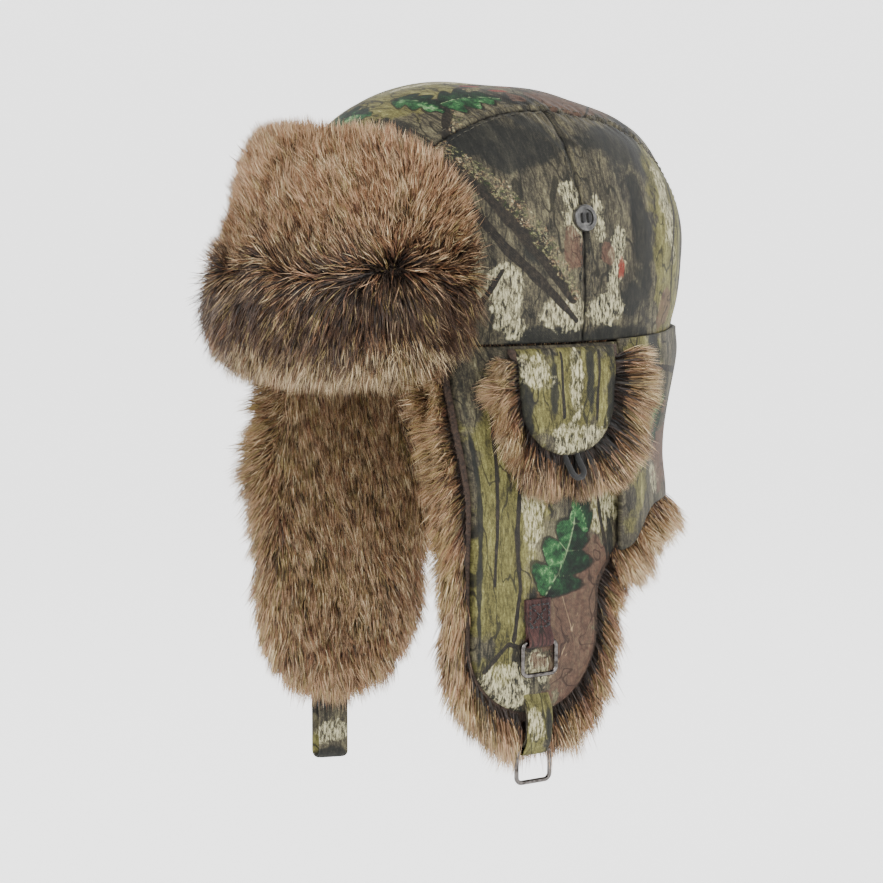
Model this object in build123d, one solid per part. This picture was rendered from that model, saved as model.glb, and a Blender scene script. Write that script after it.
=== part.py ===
from build123d import *
from math import atan2, cos, degrees, pi, sin
import os

# Trapper hat, in millimetres. The origin is the centre of the head opening: the rim seam
# lies in the plane z = 0, +Z is up, the front of the hat faces -Y and the wearer's left is +X.

# ---------------------------------------------------------------- driving dimensions
HALF_WIDTH = 88.0           # crown, centre to outer fabric, at the side
HALF_LENGTH = 105.0         # crown, centre to outer fabric, front and back
CROWN_HEIGHT = 120.0
ROUNDNESS = 3               # power of the crown's arch: 2 is an ellipse, higher is squarer
OVAL_SIDES = 20             # facets round the crown
DOME_TIERS = (0.0, 0.3, 0.55, 0.75, 0.88, 0.97)
CLOTH = 1.5                 # one layer of outer fabric with its backing
PADDING = 4.0
LINING = 1.2

STRIP_MID_HALF = 55.0       # centre panel, half width over the ears
STRIP_END_HALF = 37.0       # centre panel, half width at the front and back rim
SIDE_SEAM_Y = -5.0          # the vertical side seam, which the button sits on

VISOR_GAP = 1.5             # between the crown and the folded visor
VISOR_HALF = 71.0
VISOR_BOTTOM = 3.0
VISOR_TOP = 86.0
VISOR_CORNER = 36.0
VISOR_PADDING = 3.0
VISOR_FUR_HALF = 82.0
VISOR_FUR_BOTTOM = 1.0
VISOR_FUR_TOP = 101.0
VISOR_FUR_CORNER = 44.0
VISOR_FUR_REACH = 140.0     # centre of the hat to the tips of the fur in front
VISOR_FUR_SIDE = 99.0
VISOR_FUR_PEAK = 142.0
VISOR_END_Y = -62.0         # the visor and its fur stop here, in front of the ear flaps

FLAP_OUTER = 88.5           # outer face of an ear flap's fabric
FLAP_PADDING = 3.0
FLAP_FUR = 13.0
FLAP_TOP = -1.0
FLAP_BOTTOM = -172.0
FLAP_FRONT = -68.0
FLAP_REAR = 4.0
FLAP_CORNER = 34.0
FLAP_WING = 19.5            # the flap widens to here above the slanted corner, beside the neck flap
FLAP_WING_LOW = -92.0
FLAP_SLANT_LOW = -112.0
FLAP_FUR_FRONT = -85.0
FLAP_FUR_BOTTOM = -199.0
FLAP_FUR_CORNER = 42.0
EAR_HOLE_SIZE = (28.0, 22.0)
EAR_HOLE_CENTER = (-16.0, -30.0)

HEARING_INNER = 89.0        # inner face of a hearing flap
HEARING_CENTER_Y = -16.0
HEARING_TOP = -2.0
PATCH_SIZE = (52.0, 50.0)
PATCH_CORNER = 25.0
HEARING_FUR_TOP = -8.0
HEARING_FUR_SIZE = (88.0, 66.0)
HEARING_FUR_CORNER = 32.0
HEARING_FUR_THICK = 8.0
ELASTIC_SIZE = (9.2, 11.0)
ELASTIC_CORD = 1.8

NECK_HALF_WIDTH = 90.3
NECK_HALF_LENGTH = 107.0
NECK_FRONT = 20.5
NECK_BOTTOM = -83.0
NECK_FRONT_BOTTOM = -92.0
NECK_FUR = 13.0
NECK_FUR_DROP = 24.0        # fur hanging below the neck flap's fabric

BUTTON_HEIGHT = 57.0
BUTTON_DIAMETER = 12.5
BUTTON_THICK = 3.0
BUTTON_HOLE = 1.7
BUTTON_HOLE_PITCH = 3.4
THREAD = 1.2

TAB_WIDTH = 14.6
TAB_PLY = 2.4
TAB_CENTER_Y = -34.0
EYE_RADIUS = 2.6
WIRE = 2.2
RING_INSIDE = 17.0
RING_DROP = 15.5            # from the middle of the bar in the eye to the middle of the far bar
RING_CORNER = 3.0
EYE_RUN = 0.4               # clearance round the ring's bar, on the radius
KEEPER_TOP = -118.0
KEEPER_EYE = -138.0
CHIN_TAB_TOP = -160.0
CHIN_EYE = -189.5

STRAP_WIDTH = 15.0
STRAP_PLY = 1.6
STRAP_GAP = 5.0             # between the hanging ply and the ply folded up outside it
STRAP_FOLD = -227.0
STRAP_TAIL_TOP = -166.0
STRAP_FOLD_SLIT = 0.3       # between the bend and the part that unfolds
PATCH_THICK = 1.0
PATCH_LENGTH = 26.0

OVERSIZE = 400.0            # cutting tools reach well past the hat


# ---------------------------------------------------------------- shared shapes
def oval(half_width, half_length, z):
    """The corners of a many-sided oval, half a side round from the front so that it is flat there."""
    turns = [2 * pi * (i + 0.5) / OVAL_SIDES for i in range(OVAL_SIDES)]
    return [Vector(half_width * sin(t), -half_length * cos(t), z) for t in turns]


def dome(half_width, half_length, height, below=0.0):
    """A solid arch over an oval in flat facets: the crown's shape at the given size."""
    rings = [oval(half_width, half_length, -below)] if below else []
    for t in DOME_TIERS:
        shrink = (1 - t**ROUNDNESS) ** (1 / ROUNDNESS)
        rings.append(oval(half_width * shrink, half_length * shrink, height * t))
    faces = [Face(Wire.make_polygon(rings[0][::-1])), Face(Wire.make_polygon(rings[-1]))]
    for low, high in zip(rings, rings[1:]):
        for i in range(OVAL_SIDES):
            j = (i + 1) % OVAL_SIDES
            faces.append(Face(Wire.make_polygon([low[i], low[j], high[j], high[i]])))
    return Solid(Shell(faces))


def crown_layer(outer, inner):
    """The crown's wall between two distances from the outer fabric, outwards positive."""
    solid = dome(HALF_WIDTH + outer, HALF_LENGTH + outer, CROWN_HEIGHT + outer)
    core = dome(HALF_WIDTH + inner, HALF_LENGTH + inner, CROWN_HEIGHT + inner, below=5)
    return solid - core


def side_prism(outline, inner, outer):
    """A sketch in Y and Z made solid between two distances from the middle plane of the hat."""
    return extrude(Plane.YZ.offset(inner) * outline, amount=outer - inner)


def front_prism(outline):
    """A sketch in X and Z made solid through the front half of the hat."""
    return extrude(Plane.XZ * outline, amount=OVERSIZE)


def hung_panel(low_y, high_y, low_z, high_z, corner):
    """A flat panel outline with a straight top edge and two rounded lower corners."""
    panel = Pos((low_y + high_y) / 2, (low_z + high_z) / 2) * Rectangle(
        high_y - low_y, high_z - low_z
    )
    return fillet(panel.vertices().group_by(Axis.Y)[0], corner)


def raised_panel(half, low_z, high_z, corner):
    """A flat panel outline about x = 0 with a straight lower edge and two rounded upper corners."""
    panel = Pos(0, (low_z + high_z) / 2) * Rectangle(2 * half, high_z - low_z)
    return fillet(panel.vertices().group_by(Axis.Y)[-1], corner)


def block(low, high):
    """A box between two opposite corners."""
    size = [b - a for a, b in zip(low, high)]
    middle = [(a + b) / 2 for a, b in zip(low, high)]
    return Pos(*middle) * Box(*size)


def other_side(piece):
    return mirror(piece, about=Plane.YZ)


def save(name, piece):
    export_step(piece, f"parts/{name}.step")


os.makedirs("parts", exist_ok=True)


# ---------------------------------------------------------------- crown
def crown_panels():
    wall = crown_layer(0, -CLOTH)
    reach = HALF_LENGTH + 10
    left_edge = [
        (STRIP_END_HALF, -reach),
        (STRIP_MID_HALF, -30),
        (STRIP_MID_HALF, 30),
        (STRIP_END_HALF, reach),
    ]
    right_edge = [(-x, -y) for x, y in left_edge]
    strip = make_face(Polyline(*left_edge, *right_edge, close=True))
    strip_prism = extrude(strip, amount=OVERSIZE)
    front = block((0, -OVERSIZE, -OVERSIZE), (OVERSIZE, SIDE_SEAM_Y, OVERSIZE))
    rear = block((0, SIDE_SEAM_Y, -OVERSIZE), (OVERSIZE, OVERSIZE, OVERSIZE))
    sides = wall - strip_prism
    save("crown_center_panel", wall & strip_prism)
    for place, half in (("front", front), ("rear", rear)):
        left = sides & half
        save(f"crown_side_{place}_left", left)
        save(f"crown_side_{place}_right", other_side(left))


def crown_inside():
    save("crown_padding", crown_layer(-CLOTH, -CLOTH - PADDING))
    save("crown_lining", crown_layer(-CLOTH - PADDING, -CLOTH - PADDING - LINING))


def button_and_thread():
    """A four-hole button lying on the crown at the side seam, and the thread that holds it."""
    shrink = (1 - (BUTTON_HEIGHT / CROWN_HEIGHT) ** ROUNDNESS) ** (1 / ROUNDNESS)
    across = shrink * (1 - (SIDE_SEAM_Y / (HALF_LENGTH * shrink)) ** 2) ** 0.5
    surface_x = HALF_WIDTH * across
    tilt = degrees(
        atan2(BUTTON_HEIGHT**2 / CROWN_HEIGHT**3, surface_x**2 / HALF_WIDTH**3)
    )
    seat = Plane(
        origin=(surface_x, SIDE_SEAM_Y, BUTTON_HEIGHT),
        x_dir=(0, 1, 0),
        z_dir=Vector(1, 0, 0).rotate(Axis.Y, -tilt),
    )
    lift = 0.5
    dish = 0.8
    disc = Pos(0, 0, lift + BUTTON_THICK / 2) * Cylinder(BUTTON_DIAMETER / 2, BUTTON_THICK)
    disc = fillet(disc.edges().group_by(Axis.Z)[-1], 0.9)
    disc -= Pos(0, 0, lift + BUTTON_THICK - dish / 2) * Cylinder(BUTTON_DIAMETER / 2 - 2.2, dish)
    at = BUTTON_HOLE_PITCH / 2
    legs = []
    for x in (-at, at):
        for y in (-at, at):
            disc -= Pos(x, y, lift + BUTTON_THICK / 2) * Cylinder(BUTTON_HOLE / 2, 2 * BUTTON_THICK)
            leg = Cylinder(THREAD / 2, lift + BUTTON_THICK - 0.01)
            legs.append(Pos(x, y, (lift + BUTTON_THICK) / 2) * leg)
    floor = lift + BUTTON_THICK - dish
    bars = [
        Pos(x, 0, floor + THREAD / 2) * Box(THREAD, BUTTON_HOLE_PITCH + THREAD, THREAD)
        for x in (-at, at)
    ]
    thread = legs[0] + legs[1:] + bars
    return seat * disc, seat * thread


def buttons():
    button, thread = button_and_thread()
    save("button_left", button)
    save("button_right", other_side(button))
    save("button_thread_left", thread)
    save("button_thread_right", other_side(thread))


# ---------------------------------------------------------------- neck flap
def neck_layer(outer, inner, drop):
    """The neck flap's wall between two depths from its outer face, hanging drop below the fabric."""
    solid = Polygon(*oval(NECK_HALF_WIDTH - outer, NECK_HALF_LENGTH - outer, 0), align=None)
    core = Polygon(*oval(NECK_HALF_WIDTH - inner, NECK_HALF_LENGTH - inner, 0), align=None)
    wall = extrude(Plane.XY.offset(-OVERSIZE / 2) * (solid - core), amount=OVERSIZE)
    rear = NECK_HALF_LENGTH + 10
    outline = Polyline(
        (NECK_FRONT, FLAP_TOP),
        (rear, FLAP_TOP),
        (rear, NECK_BOTTOM - drop),
        (NECK_FRONT + 24, NECK_BOTTOM - drop),
        (NECK_FRONT, NECK_FRONT_BOTTOM - drop),
        close=True,
    )
    return wall & side_prism(make_face(outline), -OVERSIZE, OVERSIZE)


def neck_flap():
    inner = CLOTH + FLAP_PADDING
    save("neck_flap_shell", neck_layer(0, CLOTH, 0))
    save("neck_flap_padding", neck_layer(CLOTH, inner, 0))
    save("neck_flap_fur", neck_layer(inner, inner + NECK_FUR, NECK_FUR_DROP))


# ---------------------------------------------------------------- visor
def visor():
    panel = front_prism(raised_panel(VISOR_HALF, VISOR_BOTTOM, VISOR_TOP, VISOR_CORNER))
    fur_panel = front_prism(
        raised_panel(VISOR_FUR_HALF, VISOR_FUR_BOTTOM, VISOR_FUR_TOP, VISOR_FUR_CORNER)
    )
    ahead = block((-OVERSIZE, -OVERSIZE, -OVERSIZE), (OVERSIZE, VISOR_END_Y, OVERSIZE))
    cloth_face = VISOR_GAP + CLOTH
    fur_face = cloth_face + VISOR_PADDING
    save("visor_shell", crown_layer(cloth_face, VISOR_GAP) & panel & ahead)
    save("visor_padding", crown_layer(fur_face, cloth_face) & panel & ahead)
    bulge = dome(VISOR_FUR_SIDE, VISOR_FUR_REACH, VISOR_FUR_PEAK)
    seat = dome(HALF_WIDTH + fur_face, HALF_LENGTH + fur_face, CROWN_HEIGHT + fur_face, below=5)
    save("visor_fur", (bulge - seat) & fur_panel & ahead)


# ---------------------------------------------------------------- ear flaps
def ear_flap_outline():
    """The fabric of an ear flap seen from the side, with the corner that meets the neck flap."""
    lower = hung_panel(FLAP_FRONT, FLAP_REAR, FLAP_BOTTOM, FLAP_TOP, FLAP_CORNER)
    wing = make_face(
        Polyline(
            (FLAP_FRONT + FLAP_CORNER, FLAP_TOP),
            (FLAP_WING, FLAP_TOP),
            (FLAP_WING, FLAP_WING_LOW),
            (FLAP_REAR, FLAP_SLANT_LOW),
            (FLAP_FRONT + FLAP_CORNER, FLAP_SLANT_LOW),
            close=True,
        )
    )
    return lower + wing


def ear_hole():
    return Pos(*EAR_HOLE_CENTER) * Ellipse(EAR_HOLE_SIZE[0] / 2, EAR_HOLE_SIZE[1] / 2)


def ear_flap_layers():
    """An ear flap's fabric, padding and fur, from the outside in, for the left side."""
    padding_face = FLAP_OUTER - CLOTH
    fur_face = padding_face - FLAP_PADDING
    cloth = ear_flap_outline() - ear_hole()
    fur = hung_panel(FLAP_FUR_FRONT, FLAP_WING, FLAP_FUR_BOTTOM, FLAP_TOP, FLAP_FUR_CORNER)
    fur -= ear_hole()
    strap_slot = block(
        (fur_face, TAB_CENTER_Y - STRAP_WIDTH / 2, FLAP_FUR_BOTTOM),
        (padding_face, TAB_CENTER_Y + STRAP_WIDTH / 2, CHIN_TAB_TOP),
    )
    return (
        side_prism(cloth, padding_face, FLAP_OUTER),
        side_prism(cloth, fur_face, padding_face) - strap_slot,
        side_prism(fur, fur_face - FLAP_FUR, fur_face),
    )


def ear_flaps():
    for name, layer in zip(("shell", "padding", "fur"), ear_flap_layers()):
        save(f"ear_flap_{name}_left", layer)
        save(f"ear_flap_{name}_right", other_side(layer))


# ---------------------------------------------------------------- hearing flaps
def hearing_flap():
    """The small flap over the hearing hole: fabric patch, fur fringe and elastic loop, left side."""
    middle = HEARING_CENTER_Y
    patch_low = HEARING_TOP - PATCH_SIZE[1]
    patch_outline = hung_panel(
        middle - PATCH_SIZE[0] / 2, middle + PATCH_SIZE[0] / 2, patch_low, HEARING_TOP, PATCH_CORNER
    )
    fur_outline = hung_panel(
        middle - HEARING_FUR_SIZE[0] / 2,
        middle + HEARING_FUR_SIZE[0] / 2,
        HEARING_FUR_TOP - HEARING_FUR_SIZE[1],
        HEARING_FUR_TOP,
        HEARING_FUR_CORNER,
    )
    loop_top = patch_low + 1
    loop_center = (middle, loop_top - ELASTIC_SIZE[1] / 2)
    loop_outline = Pos(*loop_center) * RectangleRounded(*ELASTIC_SIZE, ELASTIC_SIZE[0] / 2 - 0.1)
    loop_window = offset(loop_outline, -ELASTIC_CORD)
    notch = Pos(middle, patch_low - 5) * Rectangle(ELASTIC_SIZE[0] + 2, 20)
    patch = side_prism(patch_outline, HEARING_INNER, HEARING_INNER + CLOTH)
    fur = side_prism(
        fur_outline - patch_outline - notch, HEARING_INNER, HEARING_INNER + HEARING_FUR_THICK
    )
    loop = side_prism(
        loop_outline - loop_window - patch_outline, HEARING_INNER, HEARING_INNER + ELASTIC_CORD
    )
    return patch, fur, loop


def hearing_flaps():
    for name, piece in zip(("patch", "fur", "elastic_loop"), hearing_flap()):
        save(f"hearing_{name}_left", piece)
        save(f"hearing_{name}_right", other_side(piece))


# ---------------------------------------------------------------- tabs and rings, left side
def tab(inner_x, top, eye_z, eye_x):
    """A folded strap, seen as one piece, with an eye at its lower end for a ring's bar."""
    strap = block(
        (inner_x, TAB_CENTER_Y - TAB_WIDTH / 2, eye_z),
        (inner_x + TAB_PLY, TAB_CENTER_Y + TAB_WIDTH / 2, top),
    )
    along = Pos(eye_x, TAB_CENTER_Y, eye_z) * Rot(90, 0, 0)
    strap += along * Cylinder(EYE_RADIUS, TAB_WIDTH)
    return strap - along * Cylinder(WIRE / 2 + EYE_RUN, 2 * TAB_WIDTH)


def ring(eye_x, eye_z):
    """A rounded rectangle of wire whose upper bar lies in a tab's eye."""
    middle = Plane.YZ.offset(eye_x) * Pos(TAB_CENTER_Y, eye_z - RING_DROP / 2)
    path = (middle * RectangleRounded(RING_INSIDE + WIRE, RING_DROP, RING_CORNER)).wire()
    section = Plane(origin=path @ 0, z_dir=path % 0) * Circle(WIRE / 2)
    return sweep(section, path=path)


def tabs_and_rings():
    keeper_inner = FLAP_OUTER
    keeper_eye_x = keeper_inner + EYE_RADIUS + 0.2
    save("keeper_tab_left", tab(keeper_inner, KEEPER_TOP, KEEPER_EYE, keeper_eye_x))
    save("keeper_ring_left", ring(keeper_eye_x, KEEPER_EYE))
    chin_inner = FLAP_OUTER - CLOTH - FLAP_PADDING + 0.3
    chin_eye_x = chin_inner + EYE_RADIUS
    save("chin_tab_left", tab(chin_inner, CHIN_TAB_TOP, CHIN_EYE, chin_eye_x))
    save("chin_ring_left", ring(chin_eye_x, CHIN_EYE))


# ---------------------------------------------------------------- chin strap, right side
def chin_strap():
    """Webbing that hangs from the right flap, folds and goes back up outside, drawn on the left."""
    low_y = TAB_CENTER_Y - STRAP_WIDTH / 2
    high_y = TAB_CENTER_Y + STRAP_WIDTH / 2
    base_in = FLAP_OUTER - CLOTH - FLAP_PADDING + 0.3
    base_out = base_in + STRAP_PLY
    tail_in = base_out + STRAP_GAP
    tail_out = tail_in + STRAP_PLY
    fold_z = STRAP_FOLD + (tail_out - base_in) / 2
    base = block((base_in, low_y, fold_z), (base_out, high_y, CHIN_TAB_TOP))
    loop_patch_low = FLAP_BOTTOM - 2 - PATCH_LENGTH
    loop_patch = block(
        (base_out, low_y + 1.5, loop_patch_low),
        (base_out + PATCH_THICK, high_y - 1.5, FLAP_BOTTOM - 2),
    )
    along = Pos((base_in + tail_out) / 2, TAB_CENTER_Y, fold_z) * Rot(90, 0, 0)
    bend = along * (
        Cylinder((tail_out - base_in) / 2, STRAP_WIDTH)
        - Cylinder((tail_in - base_out) / 2, 2 * STRAP_WIDTH)
    )
    bend &= block((0, -OVERSIZE, -OVERSIZE), (OVERSIZE, OVERSIZE, fold_z))
    base += bend
    tail = block((tail_in, low_y, fold_z + STRAP_FOLD_SLIT), (tail_out, high_y, STRAP_TAIL_TOP))
    hook_patch = block(
        (tail_in - PATCH_THICK, low_y + 1.5, loop_patch_low),
        (tail_in, high_y - 1.5, FLAP_BOTTOM - 2),
    )
    pieces = {
        "chin_strap_base": base,
        "strap_loop_patch": loop_patch,
        "chin_strap_tail": tail,
        "strap_hook_patch": hook_patch,
    }
    for name, piece in pieces.items():
        save(name, other_side(piece))


crown_panels()
crown_inside()
buttons()
neck_flap()
visor()
ear_flaps()
hearing_flaps()
tabs_and_rings()
chin_strap()
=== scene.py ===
import math

import bpy
import numpy as np
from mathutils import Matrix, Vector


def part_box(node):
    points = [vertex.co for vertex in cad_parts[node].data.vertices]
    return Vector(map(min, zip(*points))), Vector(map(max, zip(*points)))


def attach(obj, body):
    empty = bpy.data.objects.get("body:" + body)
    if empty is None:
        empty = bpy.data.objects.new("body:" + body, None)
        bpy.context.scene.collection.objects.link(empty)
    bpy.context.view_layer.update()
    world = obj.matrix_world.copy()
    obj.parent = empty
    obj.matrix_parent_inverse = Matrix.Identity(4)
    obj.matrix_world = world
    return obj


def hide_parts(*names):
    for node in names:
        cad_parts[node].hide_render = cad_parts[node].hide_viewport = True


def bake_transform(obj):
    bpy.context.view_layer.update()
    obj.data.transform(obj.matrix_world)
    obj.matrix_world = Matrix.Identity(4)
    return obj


# Trapper hat. The frame is the CAD model's: origin at the centre of the head opening, +Z up,
# front -Y, wearer's left +X. Shapes are worked out in millimetres and written in metres.

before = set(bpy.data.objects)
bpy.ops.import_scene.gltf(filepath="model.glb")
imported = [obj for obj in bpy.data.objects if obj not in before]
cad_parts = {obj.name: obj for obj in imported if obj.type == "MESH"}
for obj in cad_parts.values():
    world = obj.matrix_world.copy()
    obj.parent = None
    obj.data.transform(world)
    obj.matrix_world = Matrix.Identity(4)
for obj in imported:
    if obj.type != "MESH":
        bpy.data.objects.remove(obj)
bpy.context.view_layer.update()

MM = 0.001
SIDES = {"left": 1, "right": -1}
STRAP_WIDTH = 15.0
STRAP_PLY = 1.5
STRAP_TWIST = 20.0          # degrees
TAB_WIDTH = 14.2
TAB_PLY = 1.2
CLOTH = 1.2                 # thickness of a panel's fabric
LOOP_LIFT = 7.0             # how far an elastic loop stands out over the fringe
CROWN_FALL = 10.0           # how much lower the crown's top lies at the back
DYE_DEPTH = 0.70            # how much of each colour's light is left, under these lamps
FIBRES_EACH = {"visor": 39000, "ear_flap": 31000, "hearing_flap": 32000, "neck_flap": 28000}
rng = np.random.default_rng(452)


def node_box(name):
    low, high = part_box(name)
    return np.array(low) / MM, np.array(high) / MM


# ------------------------------------------------------------------ sizes from the frame
FACET = math.cos(math.pi / 20)      # the CAD oval's flats lie this far inside the true oval
HALF_WIDTH = node_box("crown_side_front_left")[1][0] / FACET
HALF_LENGTH = node_box("crown_center_panel")[1][1] / FACET
CROWN_HEIGHT = node_box("crown_center_panel")[1][2] * 1.03
STRIP_MID_HALF = node_box("crown_center_panel")[1][0]
STRIP_END_HALF = 0.68 * STRIP_MID_HALF     # the centre panel narrows to its ends
SIDE_SEAM_Y = node_box("crown_side_front_left")[1][1]

FLAP_LOW, FLAP_HIGH = node_box("ear_flap_shell_left")
FLAP_FLAT_X = FLAP_HIGH[0]
FLAP_REAR = 4.0             # Y of the flap's rear edge below its wing
FLAP_CORNER = 34.0          # radius of its lower corners
PATCH_LOW, PATCH_HIGH = node_box("hearing_patch_left")
PATCH_MIDDLE_Y = (PATCH_LOW[1] + PATCH_HIGH[1]) / 2
NECK_LOW_Z = node_box("neck_flap_shell")[0][2]
VISOR_LOW, VISOR_HIGH = node_box("visor_shell")
TAB_LOW, TAB_HIGH = node_box("keeper_tab_left")
TAB_Y = TAB_LOW[1] / 2 + TAB_HIGH[1] / 2


# ------------------------------------------------------------------ small helpers
def smooth(x):
    x = np.clip(x, 0, 1)
    return x * x * (3 - 2 * x)


def unit(v):
    return v / np.maximum(np.linalg.norm(v, axis=-1, keepdims=True), 1e-9)


def ripple(u, v, seed, wavelength):
    """Soft waves about zero with a standard deviation near 0.5, the same for the same seed."""
    waves = np.random.default_rng(seed)
    total = np.zeros_like(u, dtype=float)
    for _ in range(7):
        turn = waves.uniform(0, math.tau)
        step = math.tau / (wavelength * waves.uniform(0.6, 1.7))
        total += np.sin(step * (u * math.cos(turn) + v * math.sin(turn)) + waves.uniform(0, math.tau))
    return total / math.sqrt(14)


def triangles(faces):
    """Quads and triangles as triangles."""
    quads = np.array([f for f in faces if len(f) == 4]).reshape(-1, 4)
    tris = np.array([f for f in faces if len(f) == 3]).reshape(-1, 3)
    return np.concatenate([quads[:, [0, 1, 2]], quads[:, [0, 2, 3]], tris]).astype(int)


def vertex_normals(points, tris):
    a, b, c = (points[tris[:, i]] for i in range(3))
    face = np.cross(b - a, c - a)
    normals = np.zeros_like(points)
    for i in range(3):
        np.add.at(normals, tris[:, i], face)
    return unit(normals)


def grid_faces(rows, columns, wrap=False):
    faces = []
    last = columns if wrap else columns - 1
    for r in range(rows - 1):
        for c in range(last):
            d = (c + 1) % columns
            faces.append((r * columns + c, r * columns + d, (r + 1) * columns + d, (r + 1) * columns + c))
    return faces


def link(name, data):
    obj = bpy.data.objects.new(name, data)
    bpy.context.collection.objects.link(obj)
    return obj


def make_piece(name, points, faces, materials, indices=None, fields=None):
    """A smooth-shaded mesh object from points in millimetres."""
    mesh = bpy.data.meshes.new(name)
    mesh.from_pydata((np.asarray(points) * MM).tolist(), [], [tuple(int(i) for i in f) for f in faces])
    for material in materials:
        mesh.materials.append(material)
    if indices is not None:
        mesh.polygons.foreach_set("material_index", np.asarray(indices, dtype=np.int32))
    for key, values in (fields or {}).items():
        attribute = mesh.attributes.new(key, "FLOAT", "POINT")
        attribute.data.foreach_set("value", np.asarray(values, dtype=np.float32))
    mesh.shade_smooth()
    mesh.update()
    return link(name, mesh)


def placed(piece, body, replaces=(), bends=False):
    """Hides the CAD nodes that a piece stands for, and gives it its body, or, if it bends, bakes its place
    into its points.
    """
    if replaces:
        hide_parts(*replaces)
    if bends:
        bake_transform(piece)
    else:
        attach(piece, body)


def thicken(piece, thickness):
    solid = piece.modifiers.new("cloth", "SOLIDIFY")
    solid.thickness = thickness * MM
    solid.offset = -1


def turned_over(faces):
    return [tuple(reversed(f)) for f in faces]


def points_on(points, sign):
    """Points worked out for the left side, on the side asked for."""
    return points if sign > 0 else np.asarray(points) * np.array([-1, 1, 1])


def shape_on(points, faces, sign):
    return points_on(points, sign), faces if sign > 0 else turned_over(faces)


def repaint(node, finish):
    """Gives a CAD node that is kept a better material."""
    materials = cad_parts[node].data.materials
    materials.clear()
    materials.append(finish)


def path_reach(path):
    """Distance along a path at each of its points."""
    return np.concatenate([[0], np.cumsum(np.linalg.norm(np.diff(path, axis=0), axis=1))])


# ------------------------------------------------------------------ node materials
def srgb(code):
    """A colour such as 7C5844 as linear red, green, blue and alpha, deepened by DYE_DEPTH."""
    parts = [int(code[i : i + 2], 16) / 255 for i in (0, 2, 4)]
    linear = [c / 12.92 if c <= 0.04045 else ((c + 0.055) / 1.055) ** 2.4 for c in parts]
    return tuple(c * DYE_DEPTH for c in linear) + (1.0,)


class Nodes:
    """Short forms for building a material's nodes."""

    def __init__(self, name):
        self.material = bpy.data.materials.new(name)
        self.material.use_nodes = True
        self.tree = self.material.node_tree
        self.shader = self.tree.nodes["Principled BSDF"]

    def add(self, kind, **settings):
        node = self.tree.nodes.new(kind)
        for key, value in settings.items():
            setattr(node, key, value)
        return node

    def link(self, value, socket):
        if isinstance(value, bpy.types.NodeSocket):
            self.tree.links.new(value, socket)
        else:
            socket.default_value = value

    def field(self, name):
        return self.add("ShaderNodeAttribute", attribute_name=name).outputs["Fac"]

    def math(self, operation, a, b=0.0):
        node = self.add("ShaderNodeMath", operation=operation)
        self.link(a, node.inputs[0])
        self.link(b, node.inputs[1])
        return node.outputs[0]

    def plus(self, a, b):
        return self.math("ADD", a, b)

    def minus(self, a, b):
        return self.math("SUBTRACT", a, b)

    def times(self, a, b):
        return self.math("MULTIPLY", a, b)

    def spread_out(self, value, strength):
        """Stronger contrast about the middle grey."""
        return self.plus(self.times(self.minus(value, 0.5), strength), 0.5)

    def place(self):
        return self.add("ShaderNodeTexCoord").outputs["Object"]

    def vector(self, x, y, z=0.0):
        node = self.add("ShaderNodeCombineXYZ")
        for value, socket in zip((x, y, z), node.inputs):
            self.link(value, socket)
        return node.outputs[0]

    def noise(self, vector, scale, detail=3.0, rough=0.55, distortion=0.0):
        node = self.add("ShaderNodeTexNoise")
        self.link(vector, node.inputs["Vector"])
        settings = {"Scale": scale, "Detail": detail, "Roughness": rough, "Distortion": distortion}
        for name, value in settings.items():
            node.inputs[name].default_value = value
        return node.outputs["Fac"]

    def ramp(self, value, stops):
        node = self.add("ShaderNodeValToRGB")
        points = node.color_ramp.elements
        while len(points) < len(stops):
            points.new(0.5)
        for point, (at, code) in zip(points, stops):
            point.position = at
            point.color = srgb(code)
        self.link(value, node.inputs[0])
        return node.outputs["Color"]

    def step(self, value, low, high):
        node = self.add("ShaderNodeMapRange", interpolation_type="SMOOTHSTEP")
        self.link(value, node.inputs["Value"])
        node.inputs["From Min"].default_value = low
        node.inputs["From Max"].default_value = high
        return node.outputs["Result"]

    def mix(self, amount, a, b):
        node = self.add("ShaderNodeMix", data_type="RGBA")
        self.link(amount, node.inputs[0])
        self.link(a, node.inputs[6])
        self.link(b, node.inputs[7])
        return node.outputs[2]

    def bump(self, height, strength, distance=0.0004, under=None):
        node = self.add("ShaderNodeBump")
        node.inputs["Strength"].default_value = strength
        node.inputs["Distance"].default_value = distance
        self.link(height, node.inputs["Height"])
        if under is not None:
            self.link(under, node.inputs["Normal"])
        return node.outputs["Normal"]

    def finish(self, color, rough, normal=None, metallic=0.0, sheen=0.0, coat=0.0):
        self.link(color, self.shader.inputs["Base Color"])
        self.link(rough, self.shader.inputs["Roughness"])
        self.shader.inputs["Metallic"].default_value = metallic
        self.shader.inputs["Sheen Weight"].default_value = sheen
        self.shader.inputs["Coat Weight"].default_value = coat
        if normal is not None:
            self.link(normal, self.shader.inputs["Normal"])
        return self.material


# stops of each colour family of the woodland print, dark to light
BARK = [
    (0.30, "0F0F0B"), (0.40, "211F18"), (0.48, "39352A"), (0.56, "524C3B"), (0.66, "716C51"), (0.78, "A39D78")
]
KHAKI = [
    (0.30, "17160D"), (0.40, "37341A"), (0.48, "555029"), (0.58, "726E3F"), (0.68, "8F8A59"), (0.80, "B3AD80")
]
RUST = [(0.25, "2A1B15"), (0.45, "4C362B"), (0.60, "65493A"), (0.80, "86695A")]
CREAM = [(0.28, "34311E"), (0.40, "6E694A"), (0.52, "A19B77"), (0.70, "CBC5A2")]
SHADE = [(0.30, "090A08"), (0.50, "191A17"), (0.68, "2B2A24"), (0.82, "4C4939")]
LEAF = [(0.28, "030803"), (0.42, "0B1E10"), (0.54, "15361C"), (0.66, "2B5A30"), (0.82, "86A672")]
BRANCH = [(0.34, "080706"), (0.48, "191611"), (0.58, "322B22"), (0.72, "5B523E"), (0.84, "958C6B")]
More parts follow.
